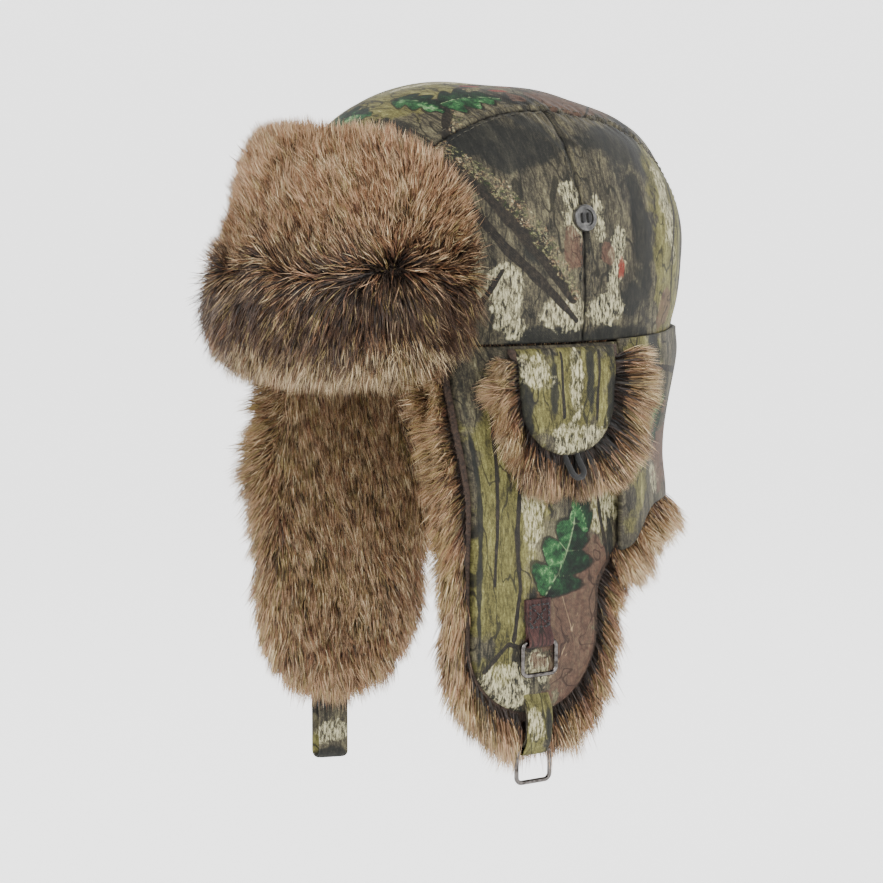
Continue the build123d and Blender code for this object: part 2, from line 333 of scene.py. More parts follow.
BURGUNDY = [(0.30, "150A0A"), (0.48, "341E1C"), (0.62, "4D312C"), (0.80, "6C5148")]
LICHEN = [
    (0.36, "10200C"), (0.44, "333D20"), (0.50, "8E8960"), (0.56, "643A2C"), (0.61, "B3AC85"), (0.70, "39452A")
]


def camo_cloth(name, ground=BARK):
    """Woven cloth with a generic woodland print: bark, leaves, branches, rust and cream patches.

    The print's places are the piece's own fields, which print_fields makes: print_u and print_v
    along the cloth in metres, and one for each kind of shape, above zero inside it."""
    n = Nodes(name)
    u, v = n.field("print_u"), n.field("print_v")
    cloth = n.vector(u, v)
    bark = n.vector(n.times(u, 3.2), n.times(v, 0.75))
    fine = n.noise(bark, 260, 7, 0.82, 0.3)
    broad = n.noise(bark, 34, 4, 0.65, 0.8)
    speck = n.noise(cloth, 1100, 3, 0.7)
    tone = n.plus(n.times(fine, 0.60), n.times(broad, 0.40))
    tone = n.spread_out(tone, 1.45)
    tone = n.plus(tone, n.times(n.minus(speck, 0.5), 0.30))
    edge = n.minus(n.noise(cloth, 210, 5, 0.7), 0.5)
    wander = n.minus(n.noise(cloth, 55, 3, 0.6), 0.5)

    def inside(field, wobble, crisp=0.05, coarse=0.0):
        value = n.plus(n.field(field), n.times(edge, wobble))
        if coarse:
            value = n.plus(value, n.times(wander, coarse))
        return n.step(value, 0.0, crisp)

    def contour(scale, stretch, width, level=0.5):
        """Thin wandering lines, as grain or cracks, from the level line of a stretched noise."""
        place = n.vector(n.times(u, stretch), v)
        height = n.minus(n.noise(place, scale, 2, 0.5, 0.3), level)
        return n.minus(1.0, n.step(n.math("ABSOLUTE", height), width * 0.4, width))

    color = n.ramp(tone, ground)
    color = n.mix(inside("khaki", 0.9, 0.25, 0.7), color, n.ramp(tone, KHAKI))
    color = n.mix(n.times(contour(28, 3.0, 0.018), 0.8), color, srgb("15140F"))
    color = n.mix(n.times(inside("shade", 1.0, 0.35, 0.6), 0.92), color, n.ramp(tone, SHADE))
    veil = n.times(inside("cream", 1.6, 0.25, 1.0), n.step(fine, 0.45, 0.55))
    color = n.mix(veil, color, n.ramp(n.plus(fine, 0.04), CREAM))
    rust_inside = inside("rust", 0.9, 0.10, 1.1)
    rust = n.mix(0.25, n.ramp(n.noise(cloth, 300, 7, 0.8), RUST), color)
    color = n.mix(n.times(rust_inside, 0.93), color, rust)
    rust_lines = n.times(contour(45, 1.0, 0.010), rust_inside)
    color = n.mix(n.times(rust_lines, 0.7), color, srgb("1F130E"))
    veins = n.step(n.plus(n.field("vein"), n.times(edge, 0.35)), 0.62, 0.85)
    color = n.mix(n.times(veins, 0.6), color, srgb("B49A76"))
    limb = n.plus(n.times(fine, 0.5), n.times(n.noise(cloth, 420, 6, 0.8), 0.5))
    color = n.mix(inside("branch", 0.5, 0.12), color, n.ramp(limb, BRANCH))
    spots = n.step(n.noise(cloth, 620, 5, 0.8), 0.50, 0.57)
    lichen = n.times(inside("lichen", 1.3, 0.25, 1.6), spots)
    color = n.mix(lichen, color, n.ramp(n.noise(cloth, 170, 5, 0.75), LICHEN))
    leaf_light = n.plus(n.noise(cloth, 130, 7, 0.8), n.times(n.field("leaf_side"), 0.07))
    leaf_light = n.spread_out(leaf_light, 1.35)
    outline = n.step(n.plus(n.field("leaf"), n.times(edge, 0.3)), -0.15, -0.04)
    color = n.mix(n.times(outline, 0.85), color, srgb("0A0D07"))
    rib = n.step(n.field("rib"), 0.60, 0.95)
    leaf = n.mix(n.times(rib, 0.65), n.ramp(leaf_light, LEAF), srgb("93A87A"))
    color = n.mix(inside("leaf", 0.5, 0.05, 0.3), color, leaf)
    berry = n.step(n.plus(n.field("berries"), n.times(edge, 1.4)), 0.0, 0.35)
    berry_color = n.ramp(speck, [(0.35, "4A1A13"), (0.62, "883527")])
    color = n.mix(n.times(berry, 0.9), color, berry_color)
    # painted shade: the seam field darkens each seam's groove almost to black
    color = n.mix(n.times(n.field("seam"), 0.9), color, srgb("0B0A08"))
    warp = n.add("ShaderNodeTexWave", wave_type="BANDS", bands_direction="DIAGONAL")
    n.link(cloth, warp.inputs["Vector"])
    warp.inputs["Scale"].default_value = 520
    warp.inputs["Distortion"].default_value = 0.6
    weave = n.plus(n.times(warp.outputs["Fac"], 0.5), n.times(speck, 0.5))
    creases = n.noise(cloth, 24, 3, 0.5, 0.5)
    normal = n.bump(creases, 0.5, 0.005)
    normal = n.bump(weave, 0.35, 0.0003, normal)
    rough = n.plus(n.times(fine, 0.15), 0.70)
    n.shader.inputs["Specular IOR Level"].default_value = 0.25
    return n.finish(color, rough, normal)


def plain_cloth(name, stops, scale=500.0):
    n = Nodes(name)
    place = n.place()
    tone = n.noise(place, scale, 5, 0.7)
    normal = n.bump(n.noise(place, 1600, 2), 0.5, 0.0003)
    return n.finish(n.ramp(tone, stops), 0.85, normal, sheen=0.1)


def metal(name, light, dark):
    n = Nodes(name)
    place = n.place()
    wear = n.noise(place, 420, 4, 0.6)
    rough = n.plus(n.times(wear, 0.16), 0.10)
    return n.finish(n.ramp(wear, [(0.35, dark), (0.65, light)]), rough, metallic=1.0)


def button_finish(name):
    n = Nodes(name)
    place = n.place()
    cloud = n.noise(place, 260, 4, 0.6)
    scratches = n.bump(n.noise(place, 1200, 3), 0.12, 0.0002)
    rough = n.plus(n.times(cloud, 0.2), 0.22)
    color = n.ramp(cloud, [(0.35, "2C2B2A"), (0.55, "4A4947"), (0.70, "6E6C69")])
    return n.finish(color, rough, scratches, metallic=0.55, coat=0.3)


# fibre colours at the root, the middle and the tip; the dark roots are partly the fur's own colour and partly
# painted shade deep in the pile
FIBRES = {
    "tan": ("2A1B11", "7A5A3F", "C09D79"),
    "red": ("20130C", "5E3E2C", "9C7251"),
    "olive": ("1E170D", "5E4F2E", "A8925F"),
    "cream": ("36271A", "A4845C", "E2CBA0"),
    "dark": ("0B0704", "20160F", "463020"),
    "ash": ("15100C", "473829", "8C755A"),
}


def fibre_materials():
    """One material for each part of each kind of fibre; plain sockets, for many thin strands."""
    made = []
    for name, codes in FIBRES.items():
        for part, code in zip(("root", "mid", "tip"), codes):
            n = Nodes(f"fibre_{name}_{part}")
            material = n.finish(srgb(code), 0.55, sheen=0.0)
            n.shader.inputs["Specular IOR Level"].default_value = 0.35
            made.append(material)
    return made


FIBRE_SET = fibre_materials()
TONES = list(FIBRES)


def pile_base():
    n = Nodes("fur_backing")
    place = n.place()
    tone = n.noise(place, 700, 4, 0.7)
    normal = n.bump(tone, 0.8, 0.0015)
    return n.finish(n.ramp(tone, [(0.35, "1E1611"), (0.60, "4A382B")]), 0.9, normal)


CAMO = camo_cloth("woodland_cloth")
BURGUNDY_CAMO = camo_cloth("woodland_cloth_burgundy", BURGUNDY)
BACKING = pile_base()
THREAD = plain_cloth("sewing_thread", [(0.3, "26241B"), (0.7, "4A4535")], 900)
BLACK_THREAD = plain_cloth("black_thread", [(0.3, "080808"), (0.7, "1A1918")], 900)
LINING = plain_cloth("quilted_lining", [(0.3, "1D1A17"), (0.7, "35302A")], 300)
ELASTIC = plain_cloth("black_elastic", [(0.3, "030303"), (0.7, "0C0B0B")], 1500)
GRIPS = plain_cloth("hook_and_loop", [(0.3, "0F0F0F"), (0.7, "2A2926")], 1800)
GUNMETAL = metal("gunmetal", "7D7875", "3A3735")
BUTTON = button_finish("button_gunmetal")


# ------------------------------------------------------------------ the print's shapes
def leaf_fields(u, v, leaves):
    """Lobed leaves, each (u, v, length, width, turn in degrees): inside field, ribs and half."""
    best, ribs, half_of = np.full_like(u, -1.0), np.zeros_like(u), np.zeros_like(u)
    for cu, cv, length, width, turn in leaves:
        c, s = math.cos(math.radians(turn)), math.sin(math.radians(turn))
        along = ((u - cu) * c + (v - cv) * s) / length + 0.5
        across = (-(u - cu) * s + (v - cv) * c) / (width / 2)
        across = across + 0.25 * np.sin(along * 3.0)
        along_in = np.clip(along, 0, 1)
        forward = np.clip(along_in - 0.16 * np.abs(across), 0, 1)
        lobes = 0.42 + 0.58 * np.abs(np.sin(forward * math.pi * 3.4 + 0.4)) ** 0.8
        half = np.sin(math.pi * along_in**0.75) ** 0.7 * lobes
        inside = half - np.abs(across)
        inside = np.where((along < 0) | (along > 1), -0.3 - 2 * np.abs(along - along_in), inside)
        side = np.abs((forward * 3.4 + 0.13) % 1.0 - 0.5) * 2
        rib = np.maximum(1 - np.abs(across) * 10, (side - 0.86) * 7) * (inside > 0)
        ahead = inside > best
        ribs = np.where(ahead, rib, ribs)
        half_of = np.where(ahead, np.sign(across), half_of)
        best = np.maximum(best, inside)
    return np.clip(best, -1, 1), np.clip(ribs, 0, 1), half_of


def blob_field(u, v, blobs):
    """Uneven patches, each (u, v, half length, half height, turn in degrees)."""
    best = np.full_like(u, -1.0)
    for cu, cv, a, b, turn in blobs:
        c, s = math.cos(math.radians(turn)), math.sin(math.radians(turn))
        x, y = ((u - cu) * c + (v - cv) * s) / a, (-(u - cu) * s + (v - cv) * c) / b
        best = np.maximum(best, 1 - np.hypot(x, y) + 0.25 * ripple(u, v, int(abs(cu)) + 3, 16))
    return np.clip(best, -1, 1)


def limb_field(u, v, limbs):
    """Branches, each a list of points (u, v, half width)."""
    best = np.full_like(u, -1.0)
    for limb in limbs:
        for (au, av, aw), (bu, bv, bw) in zip(limb, limb[1:]):
            du, dv = bu - au, bv - av
            t = np.clip(((u - au) * du + (v - av) * dv) / (du * du + dv * dv), 0, 1)
            away = np.hypot(u - au - t * du, v - av - t * dv)
            half = aw + t * (bw - aw)
            best = np.maximum(best, 1 - away / half + 0.15 * ripple(u, v, 11, 12))
    return np.clip(best, -1, 1)


def print_fields(u, v, seam=0.0, leaves=(), mossy=(), limbs=(), veins=(), **patches):
    """Every field of the woodland print on one piece of cloth, u and v in millimetres.

    Limbs are bare branches and mossy ones carry lichen along their upper side. The patches are
    rust, cream, khaki, shade and berries."""
    leaf, rib, leaf_side = leaf_fields(u, v, leaves)
    raised = [[(lu + w * 0.8, lv + w * 1.1, w * 1.25) for lu, lv, w in limb] for limb in mossy]
    # the seam field is painted shade along the seams' grooves
    fields = {"print_u": u * MM, "print_v": v * MM, "seam": np.zeros_like(u) + seam}
    fields.update({"leaf": leaf, "rib": rib, "leaf_side": leaf_side})
    for kind in ("rust", "cream", "khaki", "shade", "berries"):
        fields[kind] = blob_field(u, v, patches.get(kind, ()))
    fields["branch"] = limb_field(u, v, [*limbs, *mossy])
    fields["lichen"] = limb_field(u, v, raised)
    fields["vein"] = limb_field(u, v, veins)
    return fields


# ------------------------------------------------------------------ crown
def crown_radius_factor(directions, grow):
    """How far along each unit direction the crown's surface lies."""
    a, b, h = HALF_WIDTH + grow, HALF_LENGTH + grow, CROWN_HEIGHT + grow
    plan = np.hypot(directions[:, 0] / a, directions[:, 1] / b)
    return (plan**3 + np.abs(directions[:, 2] / h) ** 3) ** (-1 / 3)


def crown_grid(rows, columns, grow):
    """Points on the crown from the rim to the top, and their outward directions."""
    lift = np.linspace(0, math.pi / 2, rows)
    turn = np.linspace(0, math.tau, columns, endpoint=False)
    lift, turn = np.meshgrid(lift, turn, indexing="ij")
    directions = np.stack(
        [np.sin(turn) * np.cos(lift), -np.cos(turn) * np.cos(lift), np.sin(lift)], -1
    ).reshape(-1, 3)
    return directions * crown_radius_factor(directions, grow)[:, None]


def crown_normal(points):
    x, y, z = points.T
    plan = np.hypot(x / HALF_WIDTH, y / HALF_LENGTH)
    return unit(np.stack([plan * x / HALF_WIDTH**2, plan * y / HALF_LENGTH**2, z**2 / CROWN_HEIGHT**3], -1))


def back_tuck(y):
    """How far the rim draws in behind the ears."""
    return 5.5 * smooth((y - 15) / 70)


def crown_fall(y, z):
    """How much lower worn cloth lies towards the back, most of all at the top."""
    return CROWN_FALL * smooth((y + 35) / 120) * np.clip(z / CROWN_HEIGHT, 0, 1) ** 2


def plan_share(z):
    """How much of the rim's oval is left at height z."""
    nearly_top = CROWN_HEIGHT - 0.9
    return (1 - (np.clip(z, 0, nearly_top) / CROWN_HEIGHT) ** 3) ** (1 / 3)


def strip_half(y):
    """Half the centre panel's width."""
    return STRIP_MID_HALF - (STRIP_MID_HALF - STRIP_END_HALF) * (y / HALF_LENGTH) ** 2


def seam_distances(points):
    """Distance along the cloth from the centre panel's seams and from the side seams."""
    x, y, z = points.T
    slope = np.maximum(crown_normal(points)[:, 2], 0.25)
    strip = (np.abs(x) - strip_half(y)) / slope
    side = np.where(strip > -2, y - SIDE_SEAM_Y, 99.0)
    return strip, side


def crown_shape(points):
    """Seam valleys, padded swell between them, puckers beside them and the slack of worn cloth."""
    normal = crown_normal(points)
    x, y, z = points.T
    strip, side = seam_distances(points)
    valley = -1.5 * np.exp(-((strip / 1.5) ** 2)) - 1.3 * np.exp(-((side / 1.4) ** 2))
    near = np.exp(-(strip / 9) ** 2) + np.exp(-(side / 8) ** 2)
    pucker = 0.30 * near * np.sin(y * 0.9 + z * 0.55 + 2 * ripple(y, z, 5, 30))
    slack = 1.3 * ripple(y + x, z, 21, 75) * smooth(z / 40) + 0.5 * ripple(y - x, z, 8, 28)
    swell = 0.9 * (1 - np.exp(-((strip / 14) ** 2))) - 0.6
    rim = -2.2 * np.exp(-((z / 9) ** 2)) - back_tuck(y) * (1 - smooth(z / 60))
    shaped = points + normal * (valley + pucker + slack * 0.6 + swell + rim)[:, None]
    shaped[:, 2] -= crown_fall(y, z)
    return shaped


CROWN_PRINTS = {
    "center": dict(
        leaves=[(-44, 40, 32, 24, 20), (-66, 26, 30, 20, 80), (-62, -34, 30, 22, -50), (-90, -6, 34, 24, 70)],
        rust=[(36, 22, 40, 20, 10), (18, 44, 34, 10, 0), (120, -24, 26, 20, 0), (0, -40, 26, 13, 0)],
        cream=[(-30, 4, 30, 8, 20), (-102, -30, 14, 9, 30), (74, -2, 20, 8, 20), (150, 10, 14, 12, 0)],
        khaki=[(-60, 0, 60, 34, 0), (108, 20, 34, 22, 0), (170, -14, 30, 18, 0)],
        shade=[
            (-18, 46, 14, 7, 0), (60, 40, 14, 12, 40), (0, 12, 34, 6, 0),
            (-96, 30, 16, 16, 0), (84, -30, 16, 8, 0),
        ],
        berries=[(-22, 36, 6, 2.2, 20), (-10, 27, 6, 2.6, 0), (-27, 23, 5, 2.0, 30)],
        mossy=[[(-80, 52, 2.4), (-34, 26, 3.0), (10, 6, 2.4), (66, -24, 1.8)]],
        limbs=[
            [(30, 54, 0.9), (44, 30, 1.1), (74, 24, 0.9)],
            [(12, -60, 1.6), (34, -34, 1.2), (66, -44, 0.9)],
            [(90, 46, 1.6), (120, 10, 2.4), (160, 4, 2.0), (196, -20, 1.4)],
        ],
        veins=[[(-66, 20, 0.7), (-34, 52, 0.6)], [(20, -20, 0.7), (40, 10, 0.4)]],
    ),
    "front": dict(
        leaves=[(-72, 70, 20, 13, 50)],
        cream=[(-44, 22, 9, 16, 10), (-14, 14, 14, 9, 0), (-10, 60, 6, 16, 0), (-62, 30, 8, 14, 0)],
        khaki=[(-80, 24, 12, 22, 0)],
        shade=[(-36, 92, 34, 14, 0), (-62, 50, 7, 26, 0), (-20, 2, 30, 7, 0), (-30, 46, 8, 9, 0)],
        rust=[(-12, 44, 6, 9, 10)],
        mossy=[[(-66, 88, 3.4), (-50, 70, 4.0), (-36, 52, 4.0), (-24, 36, 3.4), (-12, 20, 2.2)]],
        limbs=[
            [(-60, 66, 1.6), (-44, 44, 2.6), (-28, 28, 2.6), (-10, 10, 1.4)],
            [(-60, 12, 1.6), (-46, 34, 1.1)],
        ],
    ),
    "rear": dict(
        rust=[(8, 40, 5, 6, 0), (58, 12, 9, 10, 0), (96, 44, 14, 26, 10)],
        khaki=[(62, 46, 21, 60, 4), (104, 60, 14, 40, 0)],
        cream=[(14, 34, 6, 22, -6), (4, 58, 4, 12, 0), (4, 14, 14, 8, 0), (60, 60, 7, 26, 4)],
        shade=[
            (30, 92, 26, 14, 0), (34, 50, 8, 44, 3), (24, 18, 12, 10, 0),
            (14, 2, 30, 6, 0), (84, 40, 4, 40, 8),
        ],
        berries=[(17, 34, 3.0, 6.5, 0)],
        limbs=[
            [(72, 90, 0.8), (68, 60, 1.2), (62, 40, 1.0), (66, 14, 0.9)],
            [(84, 80, 1.5), (77, 52, 2.2), (80, 20, 1.4)],
        ],
    ),
}


def crown():
    """One smooth shell, shared out to the CAD's five panels."""
    rows, columns = 150, 560
    flat = crown_grid(rows, columns, 0)
    points = crown_shape(flat)
    faces = np.array(grid_faces(rows, columns, wrap=True))
    middles = flat[faces[:, 0]] / 2 + flat[faces[:, 2]] / 2
    is_center = np.abs(middles[:, 0]) < strip_half(middles[:, 1])
    is_front = middles[:, 1] < SIDE_SEAM_Y
    regions = {"center": (is_center, "crown_center_panel", 0)}
    for side, sign in SIDES.items():
        here = ~is_center & ((middles[:, 0] > 0) == (sign > 0))
        regions[f"front_{side}"] = (here & is_front, f"crown_side_front_{side}", sign)
        regions[f"rear_{side}"] = (here & ~is_front, f"crown_side_rear_{side}", sign)
    for name, (mask, node, sign) in regions.items():
        used, place = np.unique(faces[mask].ravel(), return_inverse=True)
        p = flat[used]
        if name == "center":
            u, v = p[:, 1] + np.sign(p[:, 1]) * (CROWN_HEIGHT - p[:, 2]) * 0.8, p[:, 0]
        else:
            # the right side's cloth is cut from another place of the print
            u, v = p[:, 1] + (0 if sign > 0 else 6), p[:, 2] + (0 if sign > 0 else 5)
        strip, side = seam_distances(p)
        # a thin line of painted shade down each seam's groove
        seam = np.exp(-((strip / 0.8) ** 2)) + np.exp(-((side / 0.7) ** 2))
        fields = print_fields(u, v, np.clip(seam, 0, 1), **CROWN_PRINTS[name.split("_")[0]])
        panel_faces = place.reshape(-1, 4)
        piece = make_piece(f"crown_panel_{name}", points[used], panel_faces, [CAMO], fields=fields)
        thicken(piece, CLOTH)
        placed(piece, "root", (node,))


def crown_lining():
    """Quilted lining, seen from below, with the padding that it holds behind it."""
    rows, columns, inside, quilt_scale = 90, 260, -8.5, 14
    points = crown_grid(rows, columns, inside)
    points[:, 2] -= crown_fall(points[:, 1], points[:, 2])
    x, y, z = points.T
    turn = np.arctan2(x, -y) * HALF_WIDTH
    quilt = np.abs(np.sin((turn + z) / quilt_scale)) * np.abs(np.sin((turn - z) / quilt_scale))
    points = points * (1 - 0.016 * quilt[:, None] ** 0.5)
    piece = make_piece("crown_lining_quilted", points, turned_over(grid_faces(rows, columns, True)), [LINING])
    thicken(piece, CLOTH)
    placed(piece, "root", ("crown_lining", "crown_padding"))


# ------------------------------------------------------------------ stitching
def stitches(name, lines, body, length=2.6, gap=1.2, radius=0.22, material=THREAD):
    """Short thread stitches along lines, each line (points, outward directions)."""
    points, faces = [], []
    for path, outward in lines:
        reach = path_reach(path)
        for i in range(int(reach[-1] // (length + gap))):
            ends = np.array([i * (length + gap), i * (length + gap) + length])
            at = np.stack([np.interp(ends, reach, path[:, k]) for k in range(3)], -1)
            up = unit(np.array([np.interp(ends.mean(), reach, outward[:, k]) for k in range(3)]))
            along = unit(at[1] - at[0])
            across = np.cross(along, up)
            middle = at.mean(0) + up * radius * 0.9
            first = len(points)
            points.append(at[0] - up * 0.2)
            for end in (-0.28, 0.28):
                for turn in np.arange(6) * math.tau / 6:
                    offset = (across * math.cos(turn) + up * math.sin(turn)) * radius
                    points.append(middle + along * length * end + offset)
            points.append(at[1] - up * 0.2)
            for k in range(6):
                j = (k + 1) % 6
                a, b, c, d = first + 1 + k, first + 1 + j, first + 7 + j, first + 7 + k
                faces += [(a, b, c, d), (first, b, a), (first + 13, d, c)]
    placed(make_piece(name, np.array(points), faces, [material]), body)


def on_crown(x, y):
    """The point of the shaped crown above (x, y), and its outward direction."""
    plan = np.hypot(x / HALF_WIDTH, y / HALF_LENGTH)
    z = CROWN_HEIGHT * np.clip(1 - plan**3, 0, 1) ** (1 / 3)
    flat = np.stack([x, y, z], -1)
    return crown_shape(flat), crown_normal(flat)


def crown_stitching():
    """Rows of thread on both sides of every crown seam."""
    lines = []
    y = np.linspace(-HALF_LENGTH * 0.86, HALF_LENGTH * 0.86, 160)
    z = np.linspace(6, 92, 70)
    for sign in (1, -1):
        for away in (-2.6, 2.6):
            x = sign * (strip_half(y) + away)
            keep = np.hypot(x / HALF_WIDTH, y / HALF_LENGTH) < 0.985
            lines.append(on_crown(x[keep], y[keep]))
        for away in (-2.6, 2.6):
            seam_y = np.full_like(z, SIDE_SEAM_Y + away)
            x = sign * HALF_WIDTH * np.sqrt(np.maximum(plan_share(z) ** 2 - (seam_y / HALF_LENGTH) ** 2, 0))
            flat = np.stack([x, seam_y, z], -1)
            flat = flat[np.abs(flat[:, 0]) > strip_half(flat[:, 1]) + 3]
            lines.append((crown_shape(flat), crown_normal(flat)))
    stitches("crown_topstitching", lines, "root")


# ------------------------------------------------------------------ flat padded panels
def hung_outline(low_y, high_y, low_z, high_z, corner, power=2.0, count=220):
    """A panel's outline in Y and Z: straight top, rounded lower corners, evenly spaced points."""
    turn = np.linspace(0, math.pi / 2, 40)
    c = np.cos(turn) ** (2 / power)
    s = np.sin(turn) ** (2 / power)
    points = [(low_y, high_z)]
    points += [(low_y + corner * (1 - ci), low_z + corner * (1 - si)) for ci, si in zip(c, s)]
    points += [(high_y - corner * (1 - si), low_z + corner * (1 - ci)) for ci, si in zip(c, s)]
    points += [(high_y, high_z)]
    return spaced(np.array(points), count)


def spaced(points, count):
    """A closed outline as count evenly spaced points."""
    closed = np.concatenate([points, points[:1]])
    reach = path_reach(closed)
    at = np.linspace(0, reach[-1], count, endpoint=False)
    return np.stack([np.interp(at, reach, closed[:, k]) for k in range(2)], -1)


def flap_plane(y, z):
    """Where the outer face of an ear flap hangs: round the crown at the rim, flatter lower down."""
    oval = (HALF_WIDTH + 0.6) * np.sqrt(np.maximum(1 - (y / HALF_LENGTH) ** 2, 0.05))
    flat = FLAP_FLAT_X - 0.0016 * (y + 33) ** 2 + 0.8 * ripple(y, z, 31, 60)
    k = smooth(-z / 75)                 # 0 at the rim, 1 where the flap hangs flat
    return oval * (1 - k) + flat * k - 1.6 * np.exp(-((z / 7) ** 2))


def loop_depths(loops):
    """How far in from the edge each loop of a pillow lies, from 0 to 1."""
    return np.linspace(0, 1, loops) ** 1.6


def pillow(outline, center, loops, outer, inner):
    """A closed padded panel: loops shrink from the outline to the centre on both faces.

    outer and inner give each face's distance from the hanging plane for edge depth 0 to 1."""
    count = len(outline)
    points = []
    for offset in (outer, inner):
        for d in loop_depths(loops):
            ring = outline + (center - outline) * d * 0.999
            x = flap_plane(ring[:, 0], ring[:, 1]) + offset(np.full(count, d), ring)
            points.append(np.column_stack([x, ring]))
    points = np.concatenate(points)
    half = loops * count
    outer_faces = grid_faces(loops, count, wrap=True)
    inner_faces = [tuple(i + half for i in reversed(f)) for f in outer_faces]
    rim = [(i, i + half, (i + 1) % count + half, (i + 1) % count) for i in range(count)]
    return points, facing_out(points, outer_faces + inner_faces + rim)


def facing_out(points, faces):
    """Faces turned so that the solid's normals point outwards."""
    tris = triangles(faces)
    a, b, c = (points[tris[:, i]] for i in range(3))
    volume = np.einsum("ij,ij->i", a, np.cross(b, c)).sum()
    return faces if volume > 0 else turned_over(faces)


def edge_roll(depth, thickness, roll):
    """Rises from zero at a panel's edge to its thickness, as a rolled edge does."""
    return thickness * np.sqrt(np.clip(1 - (1 - np.clip(depth / roll, 0, 1)) ** 2, 0, 1))


PATCH_PRINT = dict(
    khaki=[(-18, -22, 30, 30, 0)],
    cream=[(-12, -44, 20, 8, 8), (-34, -12, 9, 9, 30), (-14, -20, 4, 20, 0)],
    shade=[(-26, -20, 3, 22, 0), (-6, -20, 3, 24, 3), (-40, -30, 4, 20, 0), (7, -24, 4, 24, 0)],
    limbs=[[(-22, -4, 0.6), (-21, -34, 1.0)], [(-1, -4, 0.7), (-2, -36, 0.9)]],
)

NECK_PRINT = dict(
    leaves=[(196, -40, 38, 26, 30), (300, -30, 36, 24, -40), (392, -50, 34, 22, 60)],
    rust=[(230, -60, 30, 20, 0), (345, -30, 26, 22, 0), (430, -30, 18, 20, 0)],
    cream=[(262, -24, 12, 8, 20), (205, -70, 12, 7, 0), (320, -70, 12, 8, 0)],
    khaki=[(180, -40, 22, 50, 0), (280, -55, 30, 26, 0), (380, -20, 30, 24, 0)],
    shade=[(190, -20, 12, 30, 0), (250, -50, 10, 30, 0), (330, -60, 14, 18, 0), (405, -30, 9, 34, 0)],
    limbs=[[(170, -12, 1.2), (230, -20, 1.8), (300, -12, 1.4)], [(250, -20, 1.6), (262, -80, 1.2)]],
)

FLAP_PRINT = dict(
    leaves=[(-20, -98, 44, 34, 66), (-8, -80, 22, 13, 120)],
    rust=[(-12, -138, 22, 34, 0), (0, -112, 12, 24, 0), (0, -40, 16, 14, 0)],
    cream=[(-50, -158, 15, 13, 30), (-32, -150, 9, 8, 0), (8, -74, 12, 18, 0), (-36, -74, 7, 26, 4)],
    khaki=[(-52, -90, 20, 74, 0), (-36, -66, 14, 26, 0), (8, -66, 16, 26, 0)],
    shade=[
        (-65, -90, 1.6, 80, 0), (-35, -124, 2.6, 18, 0), (-6, -166, 12, 6, 0),
        (-57, -166, 9, 6, 30), (-28, -64, 2.4, 20, 4), (12, -96, 3, 22, 0),
    ],
    limbs=[
        [(-54, -20, 0.8), (-55, -60, 1.1), (-57, -110, 0.8)],
        [(-42, -56, 0.9), (-45, -86, 1.5), (-43, -112, 1.0), (-47, -136, 1.3)],
        [(-62, -150, 1.4), (-50, -138, 1.0), (-38, -142, 1.0)],
        [(2, -60, 1.0), (6, -84, 1.2), (10, -104, 0.9)],
    ],
    veins=[
        [(-34, -166, 0.7), (-20, -148, 1.0), (-6, -124, 0.6)],
        [(-20, -148, 0.8), (-2, -142, 0.5)],
        [(-24, -154, 0.8), (-6, -158, 0.4)],
        [(-12, -136, 0.7), (-18, -118, 0.4)],
    ],
)


def flap_outline(grow=0.0):
    """An ear flap's fabric outline, with the wing that runs back to the neck flap."""
    front, low = FLAP_LOW[1] - grow, FLAP_LOW[2] - grow
    rear = FLAP_REAR + grow
    y, z = hung_outline(front, rear, low, FLAP_HIGH[2], FLAP_CORNER + grow, count=400).T
    wing_low, slant_low = -92.0 - grow, -116.0 - grow
    blend = smooth((z - slant_low) / (wing_low - slant_low))
    at_rear = np.clip((y - rear + 8) / 8, 0, 1)
    wing = FLAP_HIGH[1] + 1.5 - rear
    return spaced(np.column_stack([y + at_rear * blend * wing, z]), 360)


def ear_flap_shell(side, sign):
    """An ear flap's fabric, padded and rolled over at its edges."""
    center = np.array([-30.0, -82.0])

    def outer(depth, ring):
        soft = 0.5 * ripple(ring[:, 0], ring[:, 1], 41, 34)
        return edge_roll(depth, 2.6, 0.07) - 2.4 + soft * smooth(depth / 0.1)

    def inner(depth, ring):
        return -2.6 - edge_roll(depth, 0.8, 0.1)

    points, faces = pillow(flap_outline(), center, 70, outer, inner)
    shift = 0 if sign > 0 else 4
    fields = print_fields(points[:, 1] + shift, points[:, 2] + shift, **FLAP_PRINT)
    piece = make_piece(f"ear_flap_cloth_{side}", *shape_on(points, faces, sign), [CAMO], fields=fields)
    nodes = (f"ear_flap_shell_{side}", f"ear_flap_padding_{side}")
    placed(piece, f"ear_flap_{side}", nodes, bends=True)


# ------------------------------------------------------------------ fur
def spread(points, faces, count, weight=None):
    """Random places on a mesh, as triangle corners and the share of each, denser where weight is higher."""
    tris = triangles(faces)
    a, b, c = (points[tris[:, i]] for i in range(3))
    area = np.linalg.norm(np.cross(b - a, c - a), axis=1)
    if weight is not None:
        area = area * weight[tris].mean(1)
    pick = rng.choice(len(tris), size=count, p=area / area.sum())
    r1, r2 = np.sqrt(rng.random(count)), rng.random(count)
    share = np.stack([1 - r1, r1 * (1 - r2), r1 * r2], -1)
    return tris[pick], share


def carry(values, corners, share):
    """The values of a mesh's points at places that spread gave."""
    if values.ndim == 1:
        return (values[corners] * share).sum(1)
    return (values[corners] * share[..., None]).sum(1)


def tufts(roots, size):
    """The tuft that each fibre belongs to: uneven cells of the given size."""
    cell = np.floor(roots / size + rng.normal(0, 0.16, roots.shape)).astype(int)
    key = (cell[:, 0] * 73856093) ^ (cell[:, 1] * 19349663) ^ (cell[:, 2] * 83492791)
    return np.unique(key, return_inverse=True)[1]


